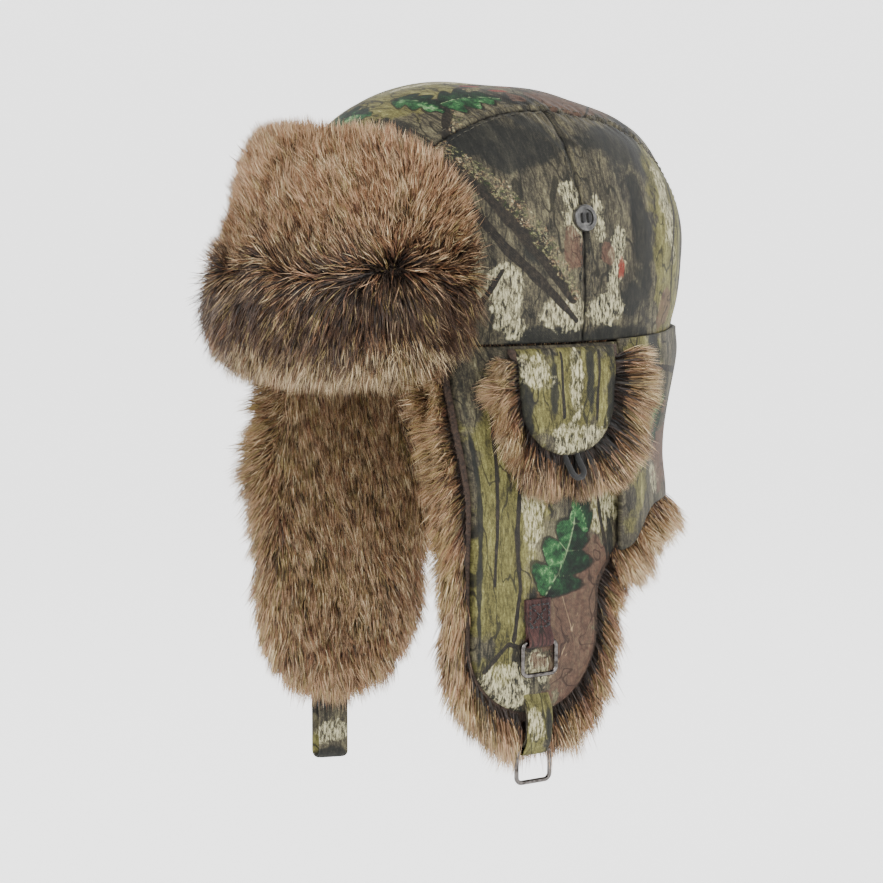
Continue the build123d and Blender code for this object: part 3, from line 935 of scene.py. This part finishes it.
def strands(roots, normals, combs, lengths, lift, tones, thickness=0.46, tuft=5.0, droop=0.25, gather=0.5):
    """Fine flat fibres in loose tufts, bent twice and tapering to a point.

    Returns points, quads, triangles and the material of each face."""
    n = len(roots)
    group = tufts(roots, tuft)
    size = np.bincount(group).astype(float)
    sway = rng.normal(0, 0.13, (len(size), 3))[group]
    stretch = rng.uniform(0.82, 1.14, len(size))[group]
    lengths = lengths * stretch * rng.uniform(0.62, 1.12, n)
    stray = rng.normal(0, 0.10, (n, 3))
    first = unit(normals * lift[:, None] + combs * (1 - lift[:, None]) + sway * 0.5 + stray)
    second = unit(first * 0.5 + combs * 0.8 + sway + rng.normal(0, 0.07, (n, 3)))
    third = unit(second + np.array([0, 0, -droop]) + sway * 0.5 + rng.normal(0, 0.08, (n, 3)))
    p0 = roots - normals * 0.6
    p1 = p0 + first * lengths[:, None] * 0.34
    p2 = p1 + second * lengths[:, None] * 0.33
    p3 = p2 + third * lengths[:, None] * 0.33
    middle = np.stack([np.bincount(group, p3[:, k]) / size for k in range(3)], -1)[group]
    pull = (gather * rng.uniform(0.35, 1.0, n))[:, None]
    p2 = p2 + (middle - p3) * pull * 0.35
    p3 = p3 + (middle - p3) * pull
    side = unit(np.cross(first, rng.normal(0, 1, (n, 3))))
    half = thickness / 2 * rng.uniform(0.7, 1.3, n)[:, None]
    rings = []
    for center, scale in ((p0, 1.0), (p1, 0.95), (p2, 0.65)):
        rings += [center - side * half * scale, center + side * half * scale]
    points = np.stack([*rings, p3], 1).reshape(-1, 3)
    base = np.arange(n)[:, None] * 7
    quads = np.concatenate([base + np.array([[0, 1, 3, 2]]), base + np.array([[2, 3, 5, 4]])])
    tips = base + np.array([[4, 5, 6]])
    return points, quads, tips, np.concatenate([tones * 3, tones * 3 + 1]), tones * 3 + 2


def strand_piece(name, parts, body, nodes=(), bends=False):
    """One mesh of fibres, written straight from arrays."""
    points, quads, tips, quad_index, tip_index = parts
    mesh = bpy.data.meshes.new(name)
    corners = np.concatenate([quads.ravel(), tips.ravel()]).astype(np.int32)
    totals = np.repeat([4, 3], [len(quads), len(tips)])
    mesh.vertices.add(len(points))
    mesh.loops.add(len(corners))
    mesh.polygons.add(len(totals))
    mesh.vertices.foreach_set("co", (points * MM).astype(np.float32).ravel())
    mesh.loops.foreach_set("vertex_index", corners)
    mesh.polygons.foreach_set("loop_start", (np.cumsum(totals) - totals).astype(np.int32))
    for material in FIBRE_SET:
        mesh.materials.append(material)
    mesh.polygons.foreach_set("material_index", np.concatenate([quad_index, tip_index]).astype(np.int32))
    mesh.update(calc_edges=True)
    mesh.shade_smooth()
    placed(link(name, mesh), body, nodes, bends=bends)


def mixed_tones(roots, shares, tuft=5.5):
    """A fibre kind for each strand, mostly shared by its tuft; shares is {kind: weight}."""
    count = len(roots)
    weights = np.stack([np.broadcast_to(shares.get(t, 0.0), (count,)) for t in TONES], -1)
    weights = np.cumsum(weights / weights.sum(1, keepdims=True), axis=1)
    group = tufts(roots, tuft)
    shared = rng.random(group.max() + 1)[group]
    draw = np.where(rng.random(count) < 0.5, shared, rng.random(count))
    return (draw[:, None] > weights).sum(1).clip(0, len(TONES) - 1)


def visor_lean(z):
    """The visor leans back with the crown, but only half as much."""
    return plan_share(z) * 0.5 + 0.5


# ------------------------------------------------------------------ visor
def visor_surface():
    """The visor's pile backing: a padded roll across the front of the crown, thicker low down."""
    columns, rows = 150, 90
    end = math.asin((VISOR_HIGH[0] + 2) / (HALF_WIDTH + 3))
    q = np.linspace(-1, 1, columns)
    w = np.linspace(0, 1, rows, endpoint=False)
    w, q = np.meshgrid(w, q, indexing="ij")
    top, low, middle = VISOR_HIGH[2] + 2, VISOR_LOW[2] - 6, 36.0
    up, out = np.cos(w * math.tau), np.sin(w * math.tau)
    squeeze_top = np.maximum(1 - np.abs(q) ** 5, 0) ** (1 / 2.2)
    squeeze_low = np.maximum(1 - np.abs(q) ** 7, 0) ** (1 / 2.6)
    z = np.where(
        up > 0,
        middle + (top - middle) * squeeze_top * np.abs(up) ** 0.7,
        middle - (middle - low) * squeeze_low * np.abs(up) ** 0.75,
    )
    thick = (15.0 + 11.0 * smooth((52 - z) / 46)) * np.maximum(1 - np.abs(q) ** 6, 0) ** 0.5
    offset = 2.0 + thick * np.maximum(out, 0) ** 0.55
    lean = visor_lean(z)
    x = (HALF_WIDTH * lean + offset * 0.75) * np.sin(q * end)
    y = -(HALF_LENGTH * lean + offset * 1.15) * np.cos(q * end)
    points = np.stack([x, y, z], -1).reshape(-1, 3)
    cells = np.arange(rows * columns).reshape(rows, columns)
    below = np.roll(cells, -1, axis=0)
    corners = [cells[:, :-1], cells[:, 1:], below[:, 1:], below[:, :-1]]
    faces = [tuple(f) for f in np.stack(corners, -1).reshape(-1, 4).tolist()]
    return points, facing_out(points - points.mean(0), faces), out.ravel()


def visor():
    """The visor's fur: brushed up above a parting and down below it, darkest along the parting."""
    points, faces, out = visor_surface()
    piece = make_piece("visor_pile_backing", points, faces, [BACKING])
    placed(piece, "visor", ("visor_padding",))
    normals = vertex_normals(points, triangles(faces))
    weight = np.where((out > -0.2) | (points[:, 2] > 80), 1.0, 0.03)
    for part in range(2):
        corners, share = spread(points, faces, FIBRES_EACH["visor"], weight)
        roots, outward = carry(points, corners, share), unit(carry(normals, corners, share))
        x, y, z = roots.T
        z = z + 3.5 * ripple(x, y, 51, 40)
        parting = smooth((z - 24) / 16)
        ends = np.sign(x) * smooth((np.abs(x) - 56) / 22)
        sideways = np.stack([ends, 0.55 * np.abs(ends), np.zeros_like(ends)], -1)
        lean = 0.35 * ripple(x, roots[:, 2], 52, 55)
        comb = unit(np.stack([lean, np.full_like(z, -0.18), parting * 2 - 1], -1) + sideways * 0.8)
        lengths = 17.0 + 4.5 * (1 - parting)
        lift = 0.40 + 0.28 * np.exp(-(((z - 31) / 10) ** 2)) + 0.14 * (z < 14)
        band_share = np.exp(-(((z - 22) / 18) ** 2))
        low = smooth((12 - z) / 12)
        tones = mixed_tones(
            roots,
            {
                "tan": 1.3 * parting + 0.05,
                "red": 0.7 * parting + 0.15,
                "cream": 0.35 * parting + 0.8 * low,
                "dark": 3.2 * band_share + 0.12,
                "ash": 0.4 * band_share + 0.25,
                "olive": 0.20,
            },
        )
        fibres = strands(roots, outward, comb, lengths, lift, tones, droop=0.12)
        strand_piece(f"visor_fur_{part + 1}", fibres, "visor", ("visor_fur",) if part == 0 else ())


def visor_cloth():
    """The visor's fabric side, against the crown."""
    rows, columns = 60, 120
    end = math.asin((VISOR_HIGH[0] - 1) / (HALF_WIDTH + 3))
    q, t = np.meshgrid(np.linspace(-1, 1, columns), np.linspace(0, 1, rows))
    low, top = VISOR_LOW[2] - 1, VISOR_HIGH[2] - 2
    z = low + (top - low) * t * np.maximum(1 - np.abs(q) ** 5, 0.02) ** (1 / 2.2)
    gap = np.where(z < 12, 0.8, 1.6)
    x = (HALF_WIDTH * visor_lean(z) + gap) * np.sin(q * end)
    y = -(HALF_LENGTH * visor_lean(z) + gap) * np.cos(q * end)
    points = np.stack([x, y, z], -1).reshape(-1, 3)
    shapes = dict(leaves=[(20, 40, 34, 20, 30)], rust=[(-30, 50, 24, 16, 0)])
    fields = print_fields(points[:, 0], points[:, 2], **shapes)
    piece = make_piece("visor_cloth", points, grid_faces(rows, columns), [CAMO], fields=fields)
    thicken(piece, 1.0)
    placed(piece, "visor", ("visor_shell",))


# ------------------------------------------------------------------ ear flaps' fur and hearing flaps
def ear_flap_fur(side, sign):
    """Fur lining of an ear flap, rolling past the fabric's edges."""
    outline = flap_outline(4.5)
    center = np.array([-30.0, -84.0])

    def outer(depth, ring):
        return np.full(len(depth), -3.4) + edge_roll(depth, 0.5, 0.04)

    def inner(depth, ring):
        return -3.4 - edge_roll(depth, 7.5, 0.16)

    loops, count = 46, len(outline)
    points, faces = pillow(outline, center, loops, outer, inner)
    normals = vertex_normals(points, triangles(faces))
    shape = shape_on(points, faces, sign)
    backing = make_piece(f"ear_flap_pile_backing_{side}", *shape, [BACKING])
    placed(backing, f"ear_flap_{side}", (f"ear_flap_fur_{side}",), bends=True)
    depth = np.tile(np.repeat(loop_depths(loops), count), 2)
    is_inner = np.repeat([0.0, 1.0], loops * count)
    weight = np.where(is_inner > 0.5, 1.0 + 2.0 * (depth < 0.1), np.where(depth < 0.05, 7.0, 0.0))
    at_seam = points[:, 2] > -9
    by_neck = (points[:, 1] > FLAP_REAR + 1) & (points[:, 2] > -94)
    weight = np.where(at_seam, 0.25 * is_inner, weight)
    weight = np.where(by_neck & (is_inner < 0.5), 0.0, weight)
    by_tab = (np.abs(points[:, 1] - TAB_Y) < 8) & (points[:, 2] < -150) & (sign > 0)
    weight = np.where(by_tab & (is_inner < 0.5), 0.0, weight)
    radial = np.zeros_like(points)
    radial[:, 1:] = points[:, 1:] - center
    radial = unit(radial)
    total = FIBRES_EACH["ear_flap"]
    for part in range(2):
        corners, share = spread(points, faces, total, weight)
        roots, outward = carry(points, corners, share), unit(carry(normals, corners, share))
        away = unit(carry(radial, corners, share))
        edge = smooth(1 - carry(depth, corners, share) / 0.14)
        edge = edge * (1 - smooth((roots[:, 1] - FLAP_REAR + 6) / 8) * smooth((roots[:, 2] + 104) / 12))
        outer_edge = smooth(1 - carry(is_inner, corners, share) * 2) * edge
        comb = away * (edge * 0.85)[:, None]
        comb[:, 1] += 0.25 * ripple(roots[:, 1], roots[:, 2], 61, 50)
        comb[:, 2] -= 0.95 - 0.35 * edge
        comb[:, 0] += outer_edge * 0.30 - 0.12 * (1 - edge)
        behind_tab = (np.abs(roots[:, 1] - TAB_Y) < 13) & (roots[:, 2] < -160) & (sign > 0)
        comb[:, 0] -= 0.45 * behind_tab
        comb = unit(comb)
        lengths = 16.5 + 6.0 * edge + 6.0 * smooth((-150 - roots[:, 2]) / 40)
        lift = 0.20 + 0.24 * edge
        outward = unit(outward * (1 - 0.5 * edge)[:, None] + away * (0.7 * edge)[:, None])
        patch = 0.5 + 0.5 * ripple(roots[:, 1], roots[:, 2], 62 + sign, 46)
        pale = smooth((-150 - roots[:, 2]) / 50) + 0.6 * edge
        front = smooth((-45 - roots[:, 1]) / 30)
        # the (1 - edge) shares of tan and cream lighten the inner pile, whose face lies in shade: painted
        # light
        tones = mixed_tones(
            roots,
            {
                "red": np.clip(1.1 * patch, 0.1, None) * (1 - 0.5 * front),
                "tan": 0.6 + 0.3 * pale + 0.6 * (1 - edge),
                "olive": 0.25 + 0.5 * front + 0.3 * (1 - patch).clip(0),
                "cream": 0.05 + 0.25 * pale + 0.45 * (1 - edge),
                "dark": 0.04 + 0.18 * edge,
                "ash": 0.30 + 0.2 * front,
            },
        )
        parts = strands(roots, outward, comb, lengths, lift, tones, droop=0.3)
        parts = (points_on(parts[0], sign), *parts[1:])
        strand_piece(f"ear_flap_fur_{side}_{part + 1}", parts, f"ear_flap_{side}", (), bends=True)


def hearing_flap(side, sign):
    """The small flap: fabric patch, and a pile backing whose fur makes the fringe round it."""
    body = f"hearing_flap_{side}"
    low, high = PATCH_LOW, PATCH_HIGH
    outline = hung_outline(low[1], high[1], low[2], high[2], 25.5, power=2.2, count=260)
    center = np.array([PATCH_MIDDLE_Y, (low[2] + high[2]) / 2 + 2])

    def outer(depth, ring):
        return 2.6 + edge_roll(depth, 2.6, 0.16) + 0.3 * ripple(ring[:, 0], ring[:, 1], 71, 18)

    def pile_outer(depth, ring):
        return 1.6 + edge_roll(depth, 1.6, 0.10)

    points, faces = pillow(outline, center, 46, outer, lambda depth, ring: 2.2)
    fields = print_fields(points[:, 1], points[:, 2], **PATCH_PRINT)
    patch = make_piece(f"hearing_patch_cloth_{side}", *shape_on(points, faces, sign), [CAMO], fields=fields)
    placed(patch, body, (f"hearing_patch_{side}",))

    loops, margin = 20, 2.5
    grown = hung_outline(
        low[1] - margin, high[1] + margin, low[2] - margin, high[2], 28, power=2.2, count=200
    )
    points, faces = pillow(grown, center, loops, pile_outer, lambda depth, ring: 0.9)
    backing = make_piece(f"hearing_pile_backing_{side}", *shape_on(points, faces, sign), [BACKING])
    placed(backing, body, (f"hearing_fur_{side}",))
    depth = np.tile(np.repeat(loop_depths(loops), len(grown)), 2)
    weight = np.where((depth < 0.09) & (points[:, 2] < high[2] - 6), 1.0, 0.0)
    total = FIBRES_EACH["hearing_flap"]
    corners, share = spread(points, faces, total, weight)
    roots = carry(points, corners, share)
    away = np.zeros_like(roots)
    away[:, 1:] = roots[:, 1:] - (center + np.array([0, 6]))
    away = unit(away)
    outward = unit(away + np.array([0.55, 0, 0]))
    comb = unit(away + np.array([0.16, 0, -0.30]) + rng.normal(0, 0.10, roots.shape))
    layer = rng.random(total)
    outward = unit(outward + np.array([0.9, 0, 0]) * (layer[:, None] > 0.6))
    under_loop = ((np.abs(roots[:, 1] - PATCH_MIDDLE_Y) < 8.5) & (roots[:, 2] < -42))[:, None]
    comb = np.where(under_loop, unit(away + np.array([-0.10, 0, -0.4])), comb)
    outward = np.where(under_loop, unit(away + np.array([-0.05, 0, -0.2])), outward)
    lengths = 20.0 + 3.0 * smooth(-away[:, 2]) + 3.0 * smooth(away[:, 1])
    shares = {"cream": 0.28, "tan": 0.5, "ash": 0.5, "olive": 0.45, "dark": 0.55, "red": 0.15}
    tones = mixed_tones(roots, shares)
    parts = strands(roots, outward, comb, lengths, np.full(total, 0.45), tones, droop=0.15)
    strand_piece(f"hearing_fringe_{side}", (points_on(parts[0], sign), *parts[1:]), body)


def elastic_loop(side, sign):
    """A loop of braided elastic, sewn under the patch's lower edge and lying over the fringe."""
    low, high = node_box("hearing_elastic_loop_left")
    middle, radius = (low[1] + high[1]) / 2, 1.35
    half = (high[1] - low[1]) / 2 - radius + 0.3
    top, bottom = high[2] + 4, low[2] - 1.2 + radius
    leg = np.linspace(top, bottom + half, 8)
    path = [(middle - half, z) for z in leg[:-1]]
    for turn in np.linspace(0, math.pi, 20):
        path.append((middle - half * math.cos(turn), bottom + half - half * math.sin(turn)))
    path += [(middle + half, z) for z in leg[::-1][1:]]
    y, z = np.array(path).T
    x = low[0] + 1.6 + LOOP_LIFT * smooth((top - 2 - z) / (top - 2 - bottom))
    points = points_on(np.column_stack([x, y, z]), sign)
    piece = make_piece(f"elastic_loop_{side}", *tube(points, radius), [ELASTIC])
    placed(piece, f"hearing_flap_{side}", (f"hearing_elastic_loop_{side}",))


def tube(path, radius, sides=12):
    """Points and faces of a round cord along a short path, closed at both ends."""
    tangent = unit(np.gradient(path, axis=0))
    across = unit(np.cross(tangent, np.array([1.0, 0, 0])))
    other = np.cross(across, tangent)
    turn = (np.arange(sides) * math.tau / sides)[None, :, None]
    around = across[:, None] * np.cos(turn) + other[:, None] * np.sin(turn)
    points = (path[:, None] + around * radius).reshape(-1, 3)
    return points, facing_out(points, grid_faces(len(path), sides, wrap=True)) + end_caps(len(path), sides)


def end_caps(rows, around):
    last = (rows - 1) * around
    return [tuple(range(around)), tuple(reversed(range(last, last + around)))]


# ------------------------------------------------------------------ neck flap
def neck_bottom(y):
    """The neck flap's lower edge: level at the back, dropping towards the ear flaps."""
    return NECK_LOW_Z + 9.0 - 17.0 * smooth((62 - y) / 46) ** 1.3


def neck_wall(phi, t, offset):
    """A point of the neck flap at angle phi from the front, t from the rim to the lower edge."""
    a, b = HALF_WIDTH + 0.4 + offset, HALF_LENGTH + 0.4 + offset
    y_rim = -b * np.cos(phi)
    z = neck_bottom(y_rim) * t + 0.2
    waist = -7.0 * smooth(t / 0.75) + 1.5 * smooth((t - 0.75) / 0.25)
    waist = waist * smooth((y_rim - 18) / 40) - 1.8 * np.exp(-((z / 8) ** 2))
    waist = waist - back_tuck(y_rim)
    x = (a + waist) * np.sin(phi)
    y = -(b + waist) * np.cos(phi)
    return np.stack([x, y, z], -1)


def neck_sheet(rows, columns, low_end, offset):
    """t, phi, points and faces of a sheet round the back, offset from the crown's wall."""
    start = math.acos(-15.5 / HALF_LENGTH)
    t, phi = np.linspace(0, low_end, rows), np.linspace(start, math.tau - start, columns)
    t, phi = np.meshgrid(t, phi, indexing="ij")
    return t, phi, neck_wall(phi, t, offset(phi, t)).reshape(-1, 3), grid_faces(rows, columns)


def neck_flap():
    """The neck flap's fabric outside, its pile backing inside, and the fur."""
    along_scale = 95.0                  # millimetres of cloth for one radian round the back
    t, phi, points, faces = neck_sheet(
        70, 300, 1.0, lambda phi, t: 0.6 * ripple(phi * along_scale, t * 85, 81, 40) - 0.8
    )
    fields = print_fields((phi * along_scale).ravel(), points[:, 2], **NECK_PRINT)
    piece = make_piece("neck_flap_cloth", points, faces, [CAMO], fields=fields)
    thicken(piece, 2 * CLOTH)
    placed(piece, "root", ("neck_flap_shell", "neck_flap_padding"))

    t, phi, inner, faces = neck_sheet(40, 200, 1.05, lambda phi, t: -5.0 - 2.0 * (t < 0.9))
    normals = vertex_normals(inner, triangles(faces))
    if np.einsum("ij,ij->i", normals, inner * np.array([1, 1, 0])).mean() > 0:
        faces, normals = turned_over(faces), -normals
    backing = make_piece("neck_pile_backing", inner, faces, [BACKING])
    thicken(backing, 1.5)
    placed(backing, "root", ("neck_flap_fur",))
    along = t.ravel()
    weight = np.where(along > 0.9, 6.0, 1.0)
    for part in range(2):
        corners, share = spread(inner, faces, FIBRES_EACH["neck_flap"], weight)
        roots, outward = carry(inner, corners, share), unit(carry(normals, corners, share))
        edge = smooth((carry(along, corners, share) - 0.84) / 0.2)
        flat = unit(roots * np.array([1, 1, 0]))
        comb = unit(flat * (0.75 * edge)[:, None] + np.array([0.0, 0.0, -1.0]))
        fringe = (flat + np.array([0, 0, -0.4])) * edge[:, None]
        outward = unit(outward * (1 - edge)[:, None] + fringe)
        lengths = 15.0 + 9.0 * edge
        lift = 0.3 + 0.15 * edge
        shares = {"tan": 0.9, "red": 0.30, "olive": 0.2, "cream": 0.25 + 0.9 * edge, "dark": 0.12, "ash": 0.2}
        fibres = strands(roots, outward, comb, lengths, lift, mixed_tones(roots, shares))
        strand_piece(f"neck_fur_{part + 1}", fibres, "root")


# ------------------------------------------------------------------ straps, tabs and hardware
def band(name, path, width, thickness, material, fields, twist=0.0):
    """Flat webbing along a path of (x, z) points, with softly rounded selvedges, cut as one sheet.

    twist is how far the width turns towards the front of the hat, in degrees."""
    path = np.asarray(path, float)
    tangent = unit(np.gradient(path, axis=0))
    normal = np.stack([tangent[:, 1], -tangent[:, 0]], -1)
    across = 25
    edge = np.linspace(-1, 1, across)
    half_thick = thickness / 2 * np.sqrt(np.clip(1 - np.abs(edge) ** 8, 0.05, 1))
    turn_x, turn_y = math.sin(math.radians(twist)), math.cos(math.radians(twist))
    points = []
    for p, n in zip(path, normal):
        for face in (1, -1):
            for e, h in zip(edge[::face] * width / 2, half_thick[::face]):
                x, z = p + n * face * h
                points.append((x + turn_x * e, TAB_Y + turn_y * e, z))
    points = np.array(points)
    around = 2 * across
    faces = grid_faces(len(path), around, wrap=True)
    u = np.tile(TAB_Y + np.concatenate([edge, edge[::-1]]) * width / 2, len(path))
    reach = path_reach(path)
    fields = print_fields(u, -np.repeat(reach, around), **fields)
    faces = facing_out(points - points.mean(0), faces) + end_caps(len(path), around)
    piece = make_piece(name, points, faces, [material], fields=fields)
    return piece


def folded_tab(name, node, material, print_shapes, bulge):
    """A strap folded round a ring's bar: down the outside, round the eye and up the inside.

    bulge is how far it swells outwards over the fur between its top and the ring."""
    low, high = node_box(node)
    ring_low, ring_high = node_box(node.replace("tab", "ring"))
    wire = ring_high[0] - ring_low[0]
    eye_x = (ring_low[0] + ring_high[0]) / 2
    eye_z = ring_high[2] - wire / 2
    around = wire / 2 + 1.0             # how far from the wire's middle the cloth turns
    outside = low[0] + 1.9
    drop = np.linspace(0, 1, 26)
    z = high[2] + (eye_z - high[2]) * drop
    swell = bulge * np.sin(drop * math.pi) ** 0.8
    outer = outside + (eye_x + around - outside) * smooth((drop - 0.6) / 0.4) + swell
    inner = np.minimum(outer - TAB_PLY - 0.1, eye_x - around * smooth((drop - 0.8) / 0.2) + swell)
    path = list(zip(outer, z))
    for turn in np.linspace(0.15, 3.0, 16):
        path.append((eye_x + around * math.cos(turn), eye_z - around * math.sin(turn)))
    path = np.array(path + list(zip(inner, z))[::-1])
    for _ in range(2):
        path[1:-1] = (path[:-2] + 2 * path[1:-1] + path[2:]) / 4
    tab = band(name, path, TAB_WIDTH, TAB_PLY, material, print_shapes)
    placed(tab, "ear_flap_left", (node,))


def box_and_cross(name, x, middle_y, low_z, high_z, half, body):
    """A sewn square with a cross in it, on a face at x."""
    left, right = middle_y - half, middle_y + half
    corners = [(left, low_z), (right, low_z), (right, high_z), (left, high_z)]
    runs = [(corners[i], corners[(i + 1) % 4]) for i in range(4)]
    runs += [(corners[0], corners[2]), (corners[1], corners[3])]
    lines = []
    for (ay, az), (by, bz) in runs:
        t = np.linspace(0, 1, 12)
        path = np.column_stack([np.full(12, x), ay + (by - ay) * t, az + (bz - az) * t])
        lines.append((path, np.tile([1.0, 0, 0], (12, 1))))
    stitches(name, lines, body, length=2.0, gap=0.6, radius=0.42, material=BLACK_THREAD)


def left_hardware():
    """The left flap's two tabs, and better materials for the rings and the buttons."""
    folded_tab("keeper_tab_folded", "keeper_tab_left", BURGUNDY_CAMO, {}, bulge=0.2)
    face = TAB_LOW[0] + 2.9
    top = TAB_HIGH[2]
    box_and_cross("keeper_tab_stitching", face, TAB_Y, top - 13, top - 2.5, 5.4, "ear_flap_left")
    shapes = dict(
        cream=[(TAB_Y - 3, -18, 5, 10, 10)],
        khaki=[(TAB_Y, -16, 12, 30, 0)],
        shade=[(TAB_Y + 5, -20, 2.5, 10, 5)],
    )
    folded_tab("chin_tab_folded", "chin_tab_left", CAMO, shapes, bulge=6.5)
    for ring in ("keeper_ring_left", "chin_ring_left"):
        repaint(ring, GUNMETAL)
    for side in SIDES:
        repaint(f"button_{side}", BUTTON)
        repaint(f"button_thread_{side}", BLACK_THREAD)


def chin_strap():
    """Webbing of the right flap: down inside, folded, and back up outside."""
    base_high = node_box("chin_strap_base")[1]
    tail_low, tail_high = node_box("chin_strap_tail")
    to_middle = 0.8                     # from a leg's face to the middle of its webbing
    inner_x, outer_x = base_high[0] - to_middle, tail_low[0] + to_middle
    fold_z = tail_low[2] - 0.3
    half, middle = (inner_x - outer_x) / 2, (inner_x + outer_x) / 2
    path = [(inner_x, z) for z in np.linspace(base_high[2], fold_z + 1, 34)]
    for turn in np.linspace(0, math.pi, 18):
        path.append((middle + half * math.cos(turn), fold_z - half * math.sin(turn)))
    path += [(outer_x, z) for z in np.linspace(fold_z + 1, tail_high[2], 34)]
    shapes = dict(
        cream=[(TAB_Y - 1, -52, 9, 7, 20), (TAB_Y + 3, -84, 7, 8, 0), (TAB_Y, -106, 8, 5, 0)],
        shade=[(TAB_Y, -66, 12, 7, 0), (TAB_Y, -30, 14, 14, 0), (TAB_Y, -96, 12, 6, 0)],
        khaki=[(TAB_Y, -76, 12, 9, 0)],
    )
    strap = band("chin_strap_folded", path, STRAP_WIDTH, STRAP_PLY, CAMO, shapes, twist=STRAP_TWIST)
    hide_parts("chin_strap_base", "chin_strap_tail")
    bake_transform(strap)
    for patch in ("strap_loop_patch", "strap_hook_patch"):
        repaint(patch, GRIPS)


# ------------------------------------------------------------------ stage, light and camera
PAPER_GLOW = 1.45           # the paper lights the hat softly from all round
WORLD_LIGHT = 0.62
VIEW_AZIMUTH, VIEW_ELEVATION = math.radians(55), math.radians(7)
VIEW_DISTANCE = 1.45        # metres
LENS = 120                  # millimetres, on a frame 36 mm wide
AIM = np.array([-0.012, -0.017, -0.056])
# name, place, width in metres and power in watts of each lamp
LAMPS = [
    ("key", (0.55, -1.35, 1.15), 0.9, 29),
    ("fill", (1.6, 0.25, 0.7), 1.2, 15),
    ("far_side", (-1.3, -0.9, 0.5), 1.3, 18),
    ("back", (-0.5, 1.5, 1.2), 1.2, 16),
]


def stage():
    """A round sweep of pale paper: flat under the hat and curving up all round."""
    n = Nodes("studio_paper")
    material = n.finish(srgb("F1F1F1"), 0.9)
    n.shader.inputs["Emission Color"].default_value = (1, 1, 1, 1)
    n.shader.inputs["Emission Strength"].default_value = PAPER_GLOW
    floor_z, flat, bend, top = -420.0, 3200.0, 1400.0, 3600.0
    profile = [(flat * k, floor_z) for k in (0.02, 0.3, 0.6, 0.85)]
    for turn in np.linspace(0, math.pi / 2, 20):
        profile.append((flat + bend * math.sin(turn), floor_z + bend * (1 - math.cos(turn))))
    profile.append((flat + bend, top))
    around = 120
    turn = np.linspace(0, math.tau, around, endpoint=False)
    points = [(r * math.cos(t), r * math.sin(t), z) for r, z in profile for t in turn]
    faces = grid_faces(len(profile), around, wrap=True) + [tuple(reversed(range(around)))]
    floor = make_piece("studio_floor", np.array(points), faces, [material])


def look_at(obj, target):
    direction = Vector((np.array(target) - np.array(obj.location)).tolist())
    obj.rotation_euler = direction.to_track_quat("-Z", "Y").to_euler()


def lights_and_camera():
    for name, place, size, power in LAMPS:
        data = bpy.data.lights.new(name, "AREA")
        data.size = size
        data.energy = power
        lamp = link(name, data)
        lamp.location = place
        look_at(lamp, (0.0, 0.0, -0.04))
    world = bpy.data.worlds.new("studio")
    bpy.context.scene.world = world
    world.use_nodes = True
    background = world.node_tree.nodes["Background"]
    background.inputs["Color"].default_value = (1, 1, 1, 1)
    background.inputs["Strength"].default_value = WORLD_LIGHT
    data = bpy.data.cameras.new("camera")
    data.lens = LENS
    data.sensor_width = 36
    data.clip_end = 20
    camera = link("camera", data)
    flat = math.cos(VIEW_ELEVATION)
    back = [math.sin(VIEW_AZIMUTH) * flat, -math.cos(VIEW_AZIMUTH) * flat, math.sin(VIEW_ELEVATION)]
    camera.location = (AIM + np.array(back) * VIEW_DISTANCE).tolist()
    look_at(camera, AIM)
    bpy.context.scene.camera = camera


crown()
crown_lining()
crown_stitching()
visor_cloth()
visor()
for side_name, side_sign in SIDES.items():
    ear_flap_shell(side_name, side_sign)
    ear_flap_fur(side_name, side_sign)
    hearing_flap(side_name, side_sign)
    elastic_loop(side_name, side_sign)
neck_flap()
left_hardware()
chin_strap()
stage()
lights_and_camera()
